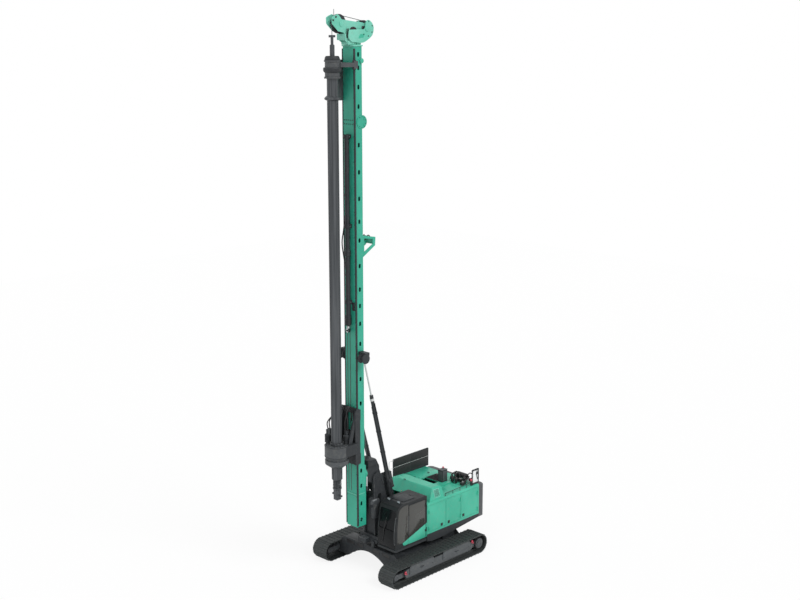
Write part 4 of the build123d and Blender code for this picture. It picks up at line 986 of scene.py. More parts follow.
# %% Latches and side louvres
LOUVRE_Y = (0.50, 2.40)
for body, side, y, z in (("left_door_front", 1, 0.77, 1.48), ("left_door_middle", 1, 1.18, 1.47),
                         ("left_door_rear", 1, 2.04, 1.50), ("right_door", -1, 1.18, 1.47)):
    shape = bmesh.new()
    add_block(shape, (side * 1.503, y, z), (0.014, 0.115, 0.115), 0.010)
    add_block(shape, (side * 1.511, y, z + 0.010), (0.014, 0.070, 0.035), 0.005)
    make_piece(f"latch_{body}", shape, black_plastic_and_shade, body)
shape = bmesh.new()
add_plate(shape, [(-0.028, -0.012), (0.0, 0.0), (0.028, -0.012), (0.0, 0.020)], 0.62, top_plane(-0.31))
louvre = small_part("louvre_slat", shape)
side_louvres = [((-1.503, y, 1.62 + 0.062 * i), (0, 1, 0), math.pi / 2) for y in LOUVRE_Y for i in range(11)]
place_copies("side_louvres", louvre, side_louvres, teal_enamel, "upper_body")
# The black plates behind the slats are painted shade: the dark room behind the louvres.
shape = bmesh.new()
for y in LOUVRE_Y:
    panel = rounded(rectangle(y - 0.34, y + 0.34, 1.57, 2.29), 0.03)
    add_plate(shape, panel, -0.006, side_plane(-1.500))
make_piece("louvre_panels", shape, black_plastic_and_shade, "upper_body")
print("side louvres:", len(side_louvres))

# %% Vent at the duct's end, hood handles
slope = axes((1.4415, 0.605, 2.55), (0, 1, 0), (-0.15, 0, 0.45))
shape = bmesh.new()
for outline in (rectangle(-0.165, 0.165, 0.07, 0.10), rectangle(-0.165, 0.165, 0.38, 0.41),
                rectangle(-0.165, -0.135, 0.10, 0.38), rectangle(0.135, 0.165, 0.10, 0.38)):
    add_plate(shape, outline, 0.014, slope, edge=0.004)
for i in range(7):
    tilt = slope @ Matrix.Translation((0, 0.122 + 0.039 * i, 0.004)) @ Matrix.Rotation(0.55, 4, "X")
    add_plate(shape, rectangle(-0.135, 0.135, -0.017, 0.017), 0.004, tilt)
make_piece("duct_vent", shape, pale_teal_enamel, "upper_body")
# The black plate behind the slats is painted shade: the dark inside of the duct.
shape = bmesh.new()
add_plate(shape, rectangle(-0.15, 0.15, 0.08, 0.40), 0.003, slope @ Matrix.Translation((0, 0, -0.002)))
make_piece("vent_back", shape, black_plastic_and_shade, "upper_body")
shape = bmesh.new()
for x, y, z in ((-0.14, 0.38, 3.0), (0.02, 1.20, 2.59), (-0.30, 1.12, 2.59), (-0.75, 1.60, 2.59), (-0.75, 2.40, 2.59)):
    add_block(shape, (x, y, z + 0.004), (0.10, 0.04, 0.014), 0.005)
    bow = ((-0.05, 0.0), (-0.045, 0.035), (0.045, 0.035), (0.05, 0.0))
    add_tube(shape, [(x + dx, y, z + dz) for dx, dz in bow], 0.007, 6)
make_piece("hood_handles", shape, black_plastic_and_shade, "upper_body")
print("duct and hood done")

# %% Radiator under the recess, deck seams
shape = bmesh.new()
add_plate(shape, rectangle(-0.46, 0.24, 1.15, 1.93), 0.02, top_plane(2.40))
for i in range(18):
    add_block(shape, (-0.11, 1.17 + 0.044 * i, 2.44), (0.68, 0.010, 0.05), 0.002)
# The black plate with slats at the engine bay's opening is painted shade: it stands for the dark inside of the opening.
opening_shade_outline = [(-0.47, 1.95), (0.16, 1.95), (0.16, 2.02), (-0.30, 2.55), (-0.46, 2.60)]
add_plate(shape, rounded(opening_shade_outline, 0.03), 0.012, top_plane(2.588), edge=0.003)
for i in range(12):
    y = 1.99 + 0.045 * i
    reach = 0.14 if y < 2.02 else 0.16 - (y - 2.02) * 0.87
    add_block(shape, ((reach - 0.44) / 2, y, 2.604), (reach + 0.42, 0.010, 0.016), 0.002)
make_piece("recess_grille", shape, black_plastic_and_shade, "upper_body")
shape = bmesh.new()
for outline in (rectangle(-1.42, -0.56, 1.02, 1.78), rectangle(-1.42, -0.56, 1.80, 2.90),
                rectangle(0.66, 1.30, 1.02, 1.60)):
    add_plate(shape, rounded(outline, 0.03), 0.010, top_plane(2.549), edge=0.004)
make_piece("deck_covers", shape, teal_enamel, "upper_body")
shape = bmesh.new()
TOE_X, GUARD_X = 1.43, -1.46
add_tube(shape, [(TOE_X, y, z) for y, z in ((1.05, 2.55), (1.05, 2.66), (1.9, 2.68), (2.66, 2.72))], 0.012, 8)
for y, top in ((1.48, 2.67), (1.9, 2.68), (2.3, 2.70), (2.66, 2.72)):
    add_tube(shape, [(TOE_X, y, 2.55), (TOE_X, y, top)], 0.012, 8)
make_piece("left_toe_rail", shape, dark_enamel, "upper_body")
shape = bmesh.new()
hoop = [(1.09, 3.27), (0.90, 3.275), (0.835, 3.24), (0.83, 2.98), (0.83, 2.56)]
add_tube(shape, smooth_path([(GUARD_X, y, z) for y, z in hoop], 5), 0.011, 8)
add_tube(shape, [(GUARD_X, 1.09, 2.95), (GUARD_X, 0.83, 2.95)], 0.008, 8)
make_piece("front_guard_rail", shape, light_grey, "upper_body")
print("deck covered")

# %% Guard panels, framed sheet, control box
shape = bmesh.new()
for y in (1.60, 2.62):
    for z in (2.805, 3.135):
        add_plate(shape, rectangle(y - 0.497, y + 0.497, z - 0.157, z + 0.157), 0.046, side_plane(-1.498), edge=0.003)
make_piece("guard_sheets", shape, punched, "upper_body")
shape = bmesh.new()
for x in (-1.501, -1.447):
    add_block(shape, (x, 2.11, 2.970), (0.006, 2.02, 0.012), 0.002)
make_piece("guard_strips", shape, light_grey, "upper_body")
shape = bmesh.new()
add_plate(shape, rectangle(2.722, 3.038, 2.612, 3.108), 0.008, side_plane(1.366), edge=0.002)
make_piece("framed_sheet", shape, pale_sheet, "upper_body")
shape = bmesh.new()
bent = [(1.384, 2.98, 3.10), (1.388, 2.95, 2.95), (1.388, 2.98, 2.80), (1.384, 3.03, 2.70)]
add_tube(shape, smooth_path(bent, 6), 0.014, 8)
add_block(shape, (1.385, 2.97, 2.98), (0.03, 0.12, 0.10), 0.012)
make_piece("framed_sheet_pipes", shape, dark_enamel, "upper_body")
shape = bmesh.new()
add_plate(shape, rounded(rectangle(0.195, 0.395, 2.64, 3.04), 0.02), 0.010, front_plane(1.9705), edge=0.004)
add_plate(shape, rounded(rectangle(2.00, 2.24, 2.64, 3.04), 0.02), 0.010, side_plane(0.4105), edge=0.004)
add_block(shape, (0.295, 2.12, 3.085), (0.25, 0.32, 0.02), 0.006)
make_piece("control_box_doors", shape, panel_enamel, "upper_body")
shape = bmesh.new()
lamp = ((0.0, 0.0), (0.034, 0.0), (0.034, 0.03), (0.026, 0.052), (0.010, 0.060), (0.0, 0.060))
filler_cap = ((0.0, 0.0), (0.045, 0.0), (0.052, 0.03), (0.045, 0.07), (0.0, 0.076))
button = ((0.0, 0.0), (0.018, 0.0), (0.022, 0.015), (0.0, 0.02))
add_turned(shape, lamp, (0.21, 2.24, 3.094), UP, 18)
add_turned(shape, filler_cap, (1.38, 2.62, 2.74), UP, 18)
add_turned(shape, button, (-0.09, 0.14, 2.60), UP, 14)
make_piece("red_lamp_and_caps", shape, red_paint, "upper_body")
print("guard and box done")

# %% Filters, valves and pipes at the rear left of the deck
CAN = ((0.0, 0.0), (0.058, 0.0), (0.066, 0.015), (0.066, 0.20), (0.050, 0.225), (0.028, 0.235), (0.028, 0.26),
       (0.0, 0.26))
TANK = ((0.0, 0.0), (0.10, 0.0), (0.115, 0.02), (0.115, 0.46), (0.10, 0.48), (0.0, 0.48))
shape, bright = bmesh.new(), bmesh.new()
for x, y, tall in ((0.62, 2.35, 1.0), (0.80, 2.36, 0.85), (0.52, 2.66, 1.2), (1.02, 2.62, 0.9)):
    add_turned(shape, [(r, h * tall) for r, h in CAN], (x, y, 2.588), UP, 20)
add_turned(shape, TANK, (0.46, 2.86, 2.74), (1, 0, 0), 24)
for x in (0.52, 0.84):
    add_block(shape, (x, 2.86, 2.625), (0.05, 0.20, 0.08), 0.008)
add_block(shape, (0.82, 2.60, 2.64), (0.22, 0.14, 0.11), 0.012)
add_block(shape, (1.13, 2.40, 2.63), (0.14, 0.22, 0.09), 0.012)
add_block(shape, (1.17, 2.92, 2.65), (0.20, 0.18, 0.12), 0.02)
add_turned(shape, disc(0.035, 0.19), (1.38, 2.62, 2.55), UP, 16)
for path in (((0.62, 2.35, 2.80), (0.62, 2.36, 2.93), (0.74, 2.36, 2.94), (0.80, 2.36, 2.80)),
             ((0.94, 2.86, 2.74), (1.06, 2.86, 2.78), (1.13, 2.70, 2.76), (1.13, 2.45, 2.66)),
             ((0.52, 2.66, 2.88), (0.60, 2.62, 2.95), (0.76, 2.60, 2.88), (0.82, 2.60, 2.68)),
             ((0.95, 2.90, 2.80), (0.97, 3.02, 2.86), (1.10, 3.05, 2.80), (1.17, 2.96, 2.70)),
             ((0.40, 2.45, 2.60), (0.44, 2.50, 2.80), (0.44, 2.70, 2.86), (0.50, 2.86, 2.84))):
    add_tube(shape, smooth_path(path, 8), 0.020, 10)
for clamp in ((0.62, 2.36, 2.86), (0.80, 2.36, 2.82), (1.11, 2.76, 2.77), (0.68, 2.61, 2.93), (1.02, 3.04, 2.85),
              (0.44, 2.60, 2.84)):
    add_ring(bright, clamp, (0.2, 0.6, 0.5), 0.024, 0.006, 16, 6)
add_block(bright, (0.82, 2.60, 2.70), (0.12, 0.08, 0.03), 0.006)
add_turned(bright, disc(0.035, 0.05), (1.13, 2.40, 2.67), UP, 12)
make_piece("deck_filters_and_pipes", shape, black_plastic_and_shade, "upper_body")
make_piece("deck_clamps", bright, zinc, "upper_body")
print("rear deck furnished")

# %% [markdown]
# ## The arched wall between the crawlers
#
# Between the two crawlers the centre frame shows an arched wall with square openings, in front and at the rear. It is
# a thick plate whose lower edge follows a parabola, stiffened by webs that run back to the middle of the frame.

# %% Arched walls, openings and webs
ARCH_TOP, ARCH_FALL = 0.67, 0.38
arch = [(x / 20, ARCH_TOP - ARCH_FALL * (x / 20) ** 2) for x in range(-22, 23)]
wall = [(-1.62, 0.21), *arch, (1.62, 0.21), (1.62, 0.74), (1.36, 0.93), (-1.36, 0.93), (-1.62, 0.74)]
shape, dark = bmesh.new(), bmesh.new()
for side in (-1, 1):
    plane = axes((0, side * 1.75, 0), (-side, 0, 0), (0, 0, 1))
    add_plate(shape, wall, 0.04, plane, edge=0.006)
    for sign in (-1, 1):
        for near, far in ((0.27, 0.60), (0.78, 1.17)):
            low, high = sorted((sign * near, sign * far))
            # The openings are black plates on the closed wall: painted shade, where one would look into the dark inside
            # of the frame.
            add_plate(dark, rectangle(low, high, 0.74, 0.87), 0.043, plane)
            for bar in (rectangle(low - 0.025, high + 0.025, 0.87, 0.895),
                        rectangle(low - 0.025, high + 0.025, 0.715, 0.74),
                        rectangle(low - 0.025, low, 0.74, 0.87), rectangle(high, high + 0.025, 0.74, 0.87)):
                add_plate(shape, bar, 0.054, plane, edge=0.003)
    for x in (-1.30, -0.68, 0.65, 1.27):
        foot = max(0.22, ARCH_TOP - ARCH_FALL * x * x + 0.02)
        web = [(side * 1.76, foot), (side * 1.76, 0.92), (side * 1.05, 0.84), (side * 1.05, foot + 0.05)]
        add_plate(shape, web, 0.03, side_plane(x))
    near, far = sorted((side * 1.78, side * 1.25))
    add_plate(shape, rounded(rectangle(-1.34, 1.34, near, far), 0.03), 0.02, top_plane(0.905), edge=0.004)
make_piece("arch_walls", shape, dark_enamel, "undercarriage")
make_piece("arch_openings", dark, black_plastic_and_shade, "undercarriage")
print("arch height in the middle:", ARCH_TOP, "m")

# %% [markdown]
# ## Column and cardan block
#
# Behind the mast stands the column: two thick cheeks with bosses at the pivots. The details are what a real column
# has: turned pin caps with a keeper, short ribs, a lobe round the lower pin and gussets behind. The cardan block gets
# a rope mouth and the side-tilt cylinders with their bright rods, and the lower barrels their trunnion blocks.

# %% Pin caps, ribs, lobes and gussets
shape, light = bmesh.new(), bmesh.new()
lobe = rounded([(-1.88, 2.10), (-1.46, 2.10), (-1.46, 2.90), (-1.955, 2.90)], 0.15, 8)
for side in (-1, 1):
    for y, z, size in ((-1.565, 3.70, 1.5), (-1.82, 2.66, 1.35)):
        add_turned(shape, ((0.0, 0.0), (0.075 * size, 0.0), (0.075 * size, 0.016), (0.066 * size, 0.024),
                           (0.048 * size, 0.024), (0.0, 0.024)), (side * 0.301, y, z), (side, 0, 0), 32)
    for (y0, z0), (y1, z1) in (((-1.70, 2.20), (-1.765, 3.50)), ((-1.325, 3.62), (-1.235, 3.42))):
        rib = axes((side * 0.285, y0, z0), (0, y1 - y0, z1 - z0), (side, 0, 0))
        add_plate(shape, rectangle(0.0, math.hypot(y1 - y0, z1 - z0), 0.0, 0.04), 0.022, rib, edge=0.004)
    low, high = sorted((side * 0.242, side * 0.270))
    add_block(shape, ((low + high) / 2, -1.265, 3.60), (high - low, 0.21, 0.46), 0.010)
    add_plate(shape, lobe, side * 0.022, side_plane(side * 0.298), edge=0.006)
    add_block(light, (side * 0.328, -1.74, 2.86), (0.02, 0.20, 0.06), 0.008)
make_piece("column_trim", shape, grey_enamel, "upper_body")
shape = bmesh.new()
gusset = [(-1.32, 2.50), (-0.86, 2.50), (-0.86, 3.62), (-0.94, 3.80), (-1.20, 3.80), (-1.36, 3.62)]
for low in (-0.268, 0.245):
    add_plate(shape, gusset, 0.023, side_plane(low), edge=0.005)
make_piece("column_gussets", shape, dark_enamel, "upper_body")
make_piece("column_keepers", light, mid_grey, "upper_body")
TILT_Y = -2.098
shape, bright = bmesh.new(), bmesh.new()
add_plate(shape, rounded(rectangle(-0.285, 0.285, -2.02, -1.60), 0.06), 0.03, top_plane(4.448), edge=0.012)
add_turned(shape, ((0.030, 0.06), (0.055, 0.06), (0.060, 0.03), (0.100, 0.0), (0.030, 0.0)), (0, -1.80, 4.47), UP, 24)
add_turned(shape, ((0.030, 0.07), (0.060, 0.07), (0.065, 0.03), (0.100, -0.02), (0.030, -0.02)), (0, -1.395, 4.10),
           (0, 0.35, -0.94), 24)
for side in (-1, 1):
    add_turned(shape, cap(0.050, 0.17, 0.040, 0.19), (side * 0.272, TILT_Y, 3.33), UP, 20)
    add_block(shape, (side * 0.258, -2.07, 3.935), (0.09, 0.06, 0.08), 0.015)
    add_block(shape, (side * 0.245, -2.05, 3.36), (0.05, 0.06, 0.10), 0.012)
    add_turned(bright, disc(0.034, 0.39), (side * 0.275, TILT_Y, 3.51), UP, 20)
make_piece("cardan_trim", shape, dark_enamel, "cardan_block")
make_piece("tilt_rods", bright, chrome, "cardan_block")
print("column trimmed")

# %% Trunnion blocks around the lower barrels
STAY_FOOT, STAY_LEAN = (0.395, -0.80, 2.45), (0.135, -1.66, 6.17)
COLLAR_LOW, COLLAR_LENGTH, RIM, RIM_PROUD = 0.80, 0.62, 0.05, 0.014
STAYS = (("left", 1), ("right", -1))
collar = [(-0.086, -0.036), (-0.036, -0.087), (0.045, -0.087), (0.100, -0.040), (0.100, 0.120), (0.060, 0.170),
          (-0.050, 0.170), (-0.086, 0.130)]
for name, side in STAYS:
    shape = bmesh.new()
    foot = Vector((side * STAY_FOOT[0], *STAY_FOOT[1:]))
    lean = Vector((side * STAY_LEAN[0], *STAY_LEAN[1:])).normalized()
    across = Vector((lean.z, 0.0, -lean.x)).normalized()
    rearward = lean.cross(across)
    section = [(side * u, v) for u, v in collar[::side]]
    for start, length, proud in ((COLLAR_LOW, COLLAR_LENGTH, 0.0), (COLLAR_LOW - 0.02, RIM, RIM_PROUD),
                                 (COLLAR_LOW + COLLAR_LENGTH - 0.03, RIM, RIM_PROUD)):
        add_plate(shape, section, length, axes(foot + lean * start + rearward * proud, across, rearward), edge=0.008)
    middle = foot + lean * (COLLAR_LOW + COLLAR_LENGTH / 2)
    add_turned(shape, cap(0.095, 0.02, 0.075, 0.035), middle + across * side * 0.097, across * side, 32)
    make_piece(f"trunnion_block_{name}", shape, dark_enamel, f"stay_barrel_{name}")
print("trunnion block length:", COLLAR_LENGTH)

# %% [markdown]
# ## Stay cylinders, rotary drive and drill bar
#
# Each stay carries an oil pipe along its barrel, held by clamps, and a pale gland ring where the rod comes out. The
# rotary drive gets its gearboxes with cooling ribs and the hoses that feed them. The bar ends in a coil spring that
# softens the blow of the tool, and a short stub with a cross pin.

# %% Pipes and gland rings on the stays
for name, side in STAYS:
    foot, eye = Vector((side * STAY_FOOT[0], *STAY_FOOT[1:])), Vector((side * 0.53, -2.46, 8.62))
    upward = (eye - foot).normalized()
    outward = Vector((side, 0, 0)) - upward * upward.x * side
    shape = bmesh.new()
    low, high = (foot + upward * s + outward * 0.115 for s in (0.35, 4.25))
    pipe = [low - outward * 0.03 - upward * 0.05, low, high, high - outward * 0.03 + upward * 0.05]
    add_tube(shape, smooth_path(pipe, 4), 0.013, 8)
    for s in (0.6, 1.5, 2.4, 3.3, 4.1):
        add_turned(shape, band(0.084, 0.096, -0.02, 0.02), foot + upward * s, upward, 24)
        add_block(shape, foot + upward * s + outward * 0.112, (0.05, 0.05, 0.03), 0.006)
    make_piece(f"stay_pipe_{name}", shape, dark_enamel, f"stay_barrel_{name}")
    shape = bmesh.new()
    add_turned(shape, band(0.060, 0.079, 0.0, 0.10), foot + upward * 4.62, upward, 24)
    make_piece(f"stay_gland_{name}", shape, light_grey, f"stay_barrel_{name}")
print("stay length:", round((eye - foot).length, 2), "m")

# %% Gearboxes, hoses and beads of the rotary drive
BOX_LOW, RIB_COUNT = 5.42, 5
shape, hoses = bmesh.new(), bmesh.new()
for (x, y), reach, top in (((-0.430, -3.373), 0.145, 5.84), ((0.150, -3.008), 0.130, 5.80)):
    body = [(0.0, 5.42), (reach, 5.42), (reach, 5.47)]
    for i in range(RIB_COUNT):
        z = 5.49 + 0.045 * i
        body += [(reach - 0.022, z), (reach - 0.022, z + 0.018), (reach, z + 0.022), (reach, z + 0.036)]
    body += [(reach - 0.03, 5.73), (reach - 0.055, 5.75), (reach - 0.055, top), (0.0, top)]
    add_turned(shape, [(r, z - BOX_LOW) for r, z in body], (x, y, BOX_LOW), UP, 28)
    add_block(shape, (x, y, top + 0.035), (0.12, 0.16, 0.08), 0.015)
for z in (4.995, 5.395):
    bead = ((0.446, z - 0.012), (0.458, z - 0.006), (0.458, z + 0.006), (0.446, z + 0.012))
    add_turned(shape, bead, (0, BAR_Y, 0), UP, 48)
make_piece("drive_gearboxes", shape, dark_enamel, "carriage")
hose_table = (((-0.43, -3.30, 5.90), -0.28), ((-0.40, -3.42, 5.90), -0.20), ((0.15, -2.94, 5.86), 0.12),
              ((0.12, -3.05, 5.86), 0.22))
for i, (start, x) in enumerate(hose_table):
    path = [start, Vector(start) + Vector((0, 0, 0.35)), (x, -2.98, 6.60 + 0.06 * i), (x, -2.80, 6.75),
            (x * 0.9, -2.72, 6.55), (x * 0.9, -2.70, 6.20)]
    add_tube(hoses, smooth_path(path, 8), 0.021, 10)
make_piece("drive_hoses", hoses, black_rubber, "carriage")
print("rotary drive furnished")

# %% Coil spring, skirt and stub of the drill bar
SPRING_TURNS, SPRING_STEPS, SPRING_RADIUS, SPRING_LOW, SPRING_HIGH = 6, 240, 0.146, 3.765, 4.135
shape = bmesh.new()
skirt = band(0.174, 0.199, 4.08, 4.26)
add_turned(shape, (*skirt, skirt[0]), (0, BAR_Y, 0), UP, 40)
make_piece("bar_skirt", shape, oiled_bar, "outer_bar")
shape = bmesh.new()
coil = []
for t in (i / SPRING_STEPS for i in range(SPRING_STEPS + 1)):
    a = 2 * math.pi * SPRING_TURNS * t
    coil.append((SPRING_RADIUS * math.cos(a), BAR_Y + SPRING_RADIUS * math.sin(a),
                 SPRING_LOW + (SPRING_HIGH - SPRING_LOW) * t))
add_tube(shape, coil, 0.017, 8)
make_piece("damper_spring", shape, oiled_bar, "inner_bar")
shape = bmesh.new()
add_block(shape, (0, BAR_Y, 3.285), (0.17, 0.17, 0.08), 0.030)
for side in (-1, 1):
    add_turned(shape, ((0.0, 0.05), (0.024, 0.05), (0.024, 0.215), (0.038, 0.222), (0.038, 0.248), (0.0, 0.248)),
               (0, BAR_Y, 3.45), (side, 0, 0), 16)
for z in (3.72, 4.205):
    bead = ((0.160, z - 0.02), (0.168, z - 0.012), (0.168, z + 0.012), (0.160, z + 0.02))
    add_turned(shape, bead, (0, BAR_Y, 0), UP, 32)
make_piece("stub_trim", shape, oiled_bar, "inner_bar")
print("spring turns:", SPRING_TURNS)

# %% [markdown]
# ## Mast and cathead
#
# Two flat strips run down the mast's front, a pale weld seam shows where its foot is joined, hoses cross the basket,
# and the crowd cylinder ends in a bright pin. The cathead is rebuilt from its plates: two inner ones with a raised
# nose over the bar, two outer ones round the rear sheave, a cover along the saddle and the two sheave pins.

# %% Strips, seam, hoses and pins of the mast
shape, bright, dark = bmesh.new(), bmesh.new(), bmesh.new()
for x in (-0.165, -0.030):
    add_block(shape, (x, -2.613, 8.3), (0.026, 0.007, 9.8), 0.002)
make_piece("front_strips", shape, grey_enamel, "mast")
shape = bmesh.new()
add_block(shape, (0, -2.611, 3.285), (0.52, 0.010, 0.018), 0.004)
for side in (1, -1):
    add_block(shape, (side * 0.271, -2.40, 3.285), (0.008, 0.36, 0.018), 0.003)
make_piece("foot_seam", shape, pale_teal_enamel, "mast")
add_turned(bright, cap(0.074, 0.012, 0.060, 0.020), (0, -2.766, 9.64), FORWARD, 24)
add_turned(bright, band(0.046, 0.058, 9.72, 9.80), (0, -2.72, 0), UP, 20)
make_piece("crowd_pin", bright, chrome, "mast")
add_turned(dark, ((0.046, 9.82), (0.112, 9.84), (0.112, 10.09), (0.10, 10.10)), (0, -2.72, 0), UP, 28)
add_block(dark, (0.19, -2.63, 10.54), (0.11, 0.045, 0.30), 0.01)
for z in (12.28, 11.68, 14.6):
    add_block(dark, (-0.12, -2.66, z), (0.10, 0.09, 0.10), 0.01)
for path in (((-0.16, -2.66, 13.9), (-0.25, -2.68, 13.3), (-0.31, -2.70, 12.85), (-0.25, -2.68, 12.35),
              (-0.14, -2.66, 11.8)),
             ((-0.18, -1.72, 13.05), (-0.10, -1.80, 12.95), (0.04, -1.90, 13.00), (0.15, -2.05, 12.90),
              (0.10, -2.20, 12.75)),
             ((0.16, -1.70, 12.95), (0.06, -1.75, 13.05), (-0.05, -1.85, 12.85), (-0.12, -2.05, 12.95),
              (-0.16, -2.20, 12.70))):
    add_tube(dark, smooth_path(path, 8), 0.022, 10)
make_piece("mast_hoses", dark, black_rubber, "mast")
print("mast trimmed")

# %% Cathead plates, saddle cover and pins
nose = [(-3.49, 20.60), (-3.50, 20.82), (-3.23, 20.93), (-3.13, 20.86), (-3.05, 20.75), (-2.59, 20.695),
        (-2.04, 20.64), (-1.72, 20.56), (-1.66, 20.40), (-1.78, 20.24), (-2.21, 19.86), (-2.63, 19.86), (-2.92, 20.05),
        (-2.93, 20.30), (-3.20, 20.34)]
rear_plate = [(-2.77, 20.40), (-2.80, 20.13), (-2.66, 19.99), (-2.20, 19.94), (-2.03, 19.96), (-1.79, 20.08),
              (-1.64, 20.19), (-1.575, 20.33), (-1.56, 20.50), (-1.66, 20.65), (-1.80, 20.74), (-1.93, 20.70),
              (-2.00, 20.41)]
INNER_X, OUTER_X = (-0.152, 0.130), (-0.222, 0.195)
shape, outer, dark = bmesh.new(), bmesh.new(), bmesh.new()
for x in INNER_X:
    add_plate(shape, rounded(nose, 0.035, 3), 0.022, side_plane(x), edge=0.004)
for x in OUTER_X:
    add_plate(outer, rounded(rear_plate, 0.06, 4), 0.027, side_plane(x), edge=0.005)
saddle = ((-3.10, 20.81), (-3.04, 20.735), (-2.59, 20.68), (-2.10, 20.63))
for (y0, z0), (y1, z1) in zip(saddle, saddle[1:]):
    cover = axes((0, y0, z0), (1, 0, 0), (0, y1 - y0, z1 - z0))
    add_plate(shape, rectangle(-0.130, 0.130, 0.0, math.hypot(y1 - y0, z1 - z0)), 0.014, cover)
add_block(shape, (0, -2.41, 19.85), (0.60, 0.46, 0.045), 0.008)
add_block(shape, (0, -2.92, 20.15), (0.44, 0.03, 0.22), 0.006)
add_block(shape, (0, -2.62, 19.96), (0.36, 0.30, 0.16), 0.02)
add_block(shape, (0, -2.25, 19.93), (0.36, 0.20, 0.14), 0.02)
for y, z, half in ((-3.063, 20.6, 0.175), (-1.88, 20.43, 0.245)):
    for side in (-1, 1):
        add_turned(shape, cap(0.095, 0.020, 0.060, 0.030), (side * (half - 0.025), y, z), (side, 0, 0), 28)
    add_turned(dark, disc(0.044, half - 0.02, -half + 0.02), (0, y, z), (1, 0, 0), 20)
half_moon = [(-2.68 + 0.18 - 0.18 * math.cos(a), 20.36 + 0.14 * math.sin(a))
             for a in (math.pi * i / 14 for i in range(15))]
# The black discs, half-moons and small flat plates on the inner plates are painted shade in holes and openings; the
# sheave pins and the two struts on each side are dark parts.
for side in (-1, 1):
    face = side * 0.1525
    for y, z in ((-3.31, 20.83), (-3.44, 20.72)):
        add_turned(dark, disc(0.036, 0.008), (face, y, z), (side, 0, 0), 20)
    add_plate(dark, half_moon, side * 0.003, side_plane(face))
    add_block(dark, (side * 0.16, -2.02, 20.47), (0.012, 0.13, 0.10), 0.004)
    for y in (-2.86, -2.80):
        add_tube(dark, [(side * 0.20, y, 20.12), (side * 0.20, y + 0.03, 20.44)], 0.014, 8)
make_piece("cathead_plates", shape, pale_teal_enamel, "mast")
outer_plates = make_piece("cathead_outer_plates", outer, pale_teal_enamel, "mast")
make_piece("cathead_openings", dark, black_plastic_and_shade, "mast")
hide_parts("cathead")
# The dark teal plates on the outer plates are painted shade: they fill the windows, through which the shaded inner
# plate shows. The caps below are real parts.
patch = rounded([(-2.32, 20.10), (-2.23, 20.245), (-2.00, 20.245), (-2.08, 20.12)], 0.02)
shape = bmesh.new()
for side in (-1, 1):
    add_plate(shape, patch, side * 0.003, side_plane(side * 0.2225))
    add_turned(shape, cap(0.085, 0.05, 0.060, 0.06), (side * 0.268, -2.24, 19.33), (side, 0, 0), 24)
make_piece("cathead_patches", shape, teal_enamel, "mast")
shape = bmesh.new()
add_tube(shape, [(0.10, -3.36, 20.80), (0.10, -3.36, 21.09)], 0.012, 8)
add_turned(shape, cap(0.03, 0.02, 0.012, 0.05), (0.10, -3.36, 20.80), UP, 14)
add_block(shape, (0.115, -3.36, 20.80), (0.05, 0.05, 0.03), 0.005)
make_piece("signal_rod", shape, mid_grey, "mast")
print("cathead plates:", len(INNER_X) + len(OUTER_X))

# %% Dome and band of the bar guide
DOME = ((0.216, 19.36), (0.270, 19.36), (0.270, 19.40), (0.255, 19.46), (0.225, 19.51), (0.216, 19.51), (0.216, 19.36))
GUIDE_BAND = ((0.255, 18.93), (0.300, 18.97), (0.322, 19.02), (0.322, 19.09), (0.300, 19.12), (0.255, 19.12))
shape = bmesh.new()
add_turned(shape, DOME, (0, BAR_Y, 0), UP, 40)
add_turned(shape, GUIDE_BAND, (0, BAR_Y, 0), UP, 48)
for side in (1, -1):
    add_block(shape, (side * 0.335, -2.63, 19.20), (0.05, 0.14, 0.34), 0.012)
make_piece("guide_trim", shape, dark_enamel, "bar_guide")
print("guide trim from", GUIDE_BAND[0][1], "to", DOME[-2][1], "m")

# %% [markdown]
# ## Floor and light
#
# The floor and the world are white to the camera and to what shines or is seen through glass, so the background is
# bright while the light on the machine stays at a plain level. Two soft suns give the shape: one high on the
# machine's left, where the photograph is brightest, and a weaker one from the front.

# %% Floor, world and lamps
FLOOR_HALF, FLOOR_GLOW, SKY_LIGHT = 60.0, 0.86, 0.62


def seen_by(tree, *kinds):
    """1 for rays of these kinds, 0 for all others."""
    path = add_node(tree, "ShaderNodeLightPath")
    share = path.outputs[kinds[0]]
    for kind in kinds[1:]:
        share = add_node(tree, "ShaderNodeMath", {0: share, 1: path.outputs[kind]}, operation="MAXIMUM").outputs[0]
    return share


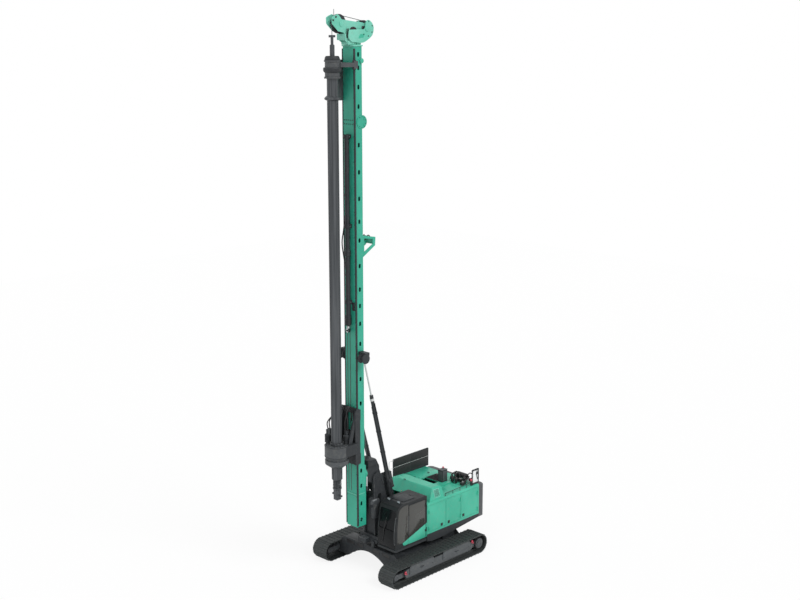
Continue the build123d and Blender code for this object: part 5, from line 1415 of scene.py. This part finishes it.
floor_material, tree, shader = new_material("pale_floor")
set_inputs(tree, shader, {"Base Color": paint("#F4F4F4"), "Roughness": 0.9})
glow = add_node(tree, "ShaderNodeEmission", {"Color": paint("#FFFFFF"), "Strength": 1.0})
share = add_node(tree, "ShaderNodeMath", {0: seen_by(tree, "Is Camera Ray", "Is Transmission Ray"), 1: FLOOR_GLOW},
                 operation="MULTIPLY")
mixed = add_node(tree, "ShaderNodeMixShader",
                 {0: share.outputs[0], 1: shader.outputs["BSDF"], 2: glow.outputs["Emission"]})
floor_out = next(n for n in tree.nodes if n.type == "OUTPUT_MATERIAL")
tree.links.new(mixed.outputs["Shader"], floor_out.inputs["Surface"])
floor_mesh = bpy.data.meshes.new("floor")
corners = [(x, y, 0) for x, y in rectangle(-FLOOR_HALF, FLOOR_HALF, -FLOOR_HALF, FLOOR_HALF)]
floor_mesh.from_pydata(corners, [], [(0, 1, 2, 3)])
floor_mesh.materials.append(floor_material)
floor = bpy.data.objects.new("floor", floor_mesh)
scene.collection.objects.link(floor)
floor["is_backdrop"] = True

world = bpy.data.worlds.new("studio")
scene.world = world
world.use_nodes = True
tree = world.node_tree
tree.nodes.clear()
soft_sky, white_sky = (add_node(tree, "ShaderNodeBackground", {"Color": paint("#FFFFFF"), "Strength": strength})
                       for strength in (SKY_LIGHT, 1.0))
seen = seen_by(tree, "Is Camera Ray", "Is Glossy Ray", "Is Transmission Ray")
sky = add_node(tree, "ShaderNodeMixShader", {0: seen, 1: soft_sky.outputs[0], 2: white_sky.outputs[0]})
add_node(tree, "ShaderNodeOutputWorld", {"Surface": sky.outputs[0]})


def add_sun(name, towards, strength, angle_degrees):
    """A sun whose light comes from the direction towards, with soft edges."""
    data = bpy.data.lights.new(name, "SUN")
    data.energy = strength
    data.angle = math.radians(angle_degrees)
    lamp = bpy.data.objects.new(name, data)
    lamp.rotation_mode = "QUATERNION"
    lamp.rotation_quaternion = Vector(towards).to_track_quat("Z", "Y")
    scene.collection.objects.link(lamp)


add_sun("key_light", (1.0, 0.1, 1.0), 1.6, 25)
add_sun("front_light", (0.2, -1.0, 0.6), 0.5, 40)
scene.view_settings.view_transform = "Standard"

# %% Size of what is shown, and the end
low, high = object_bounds()
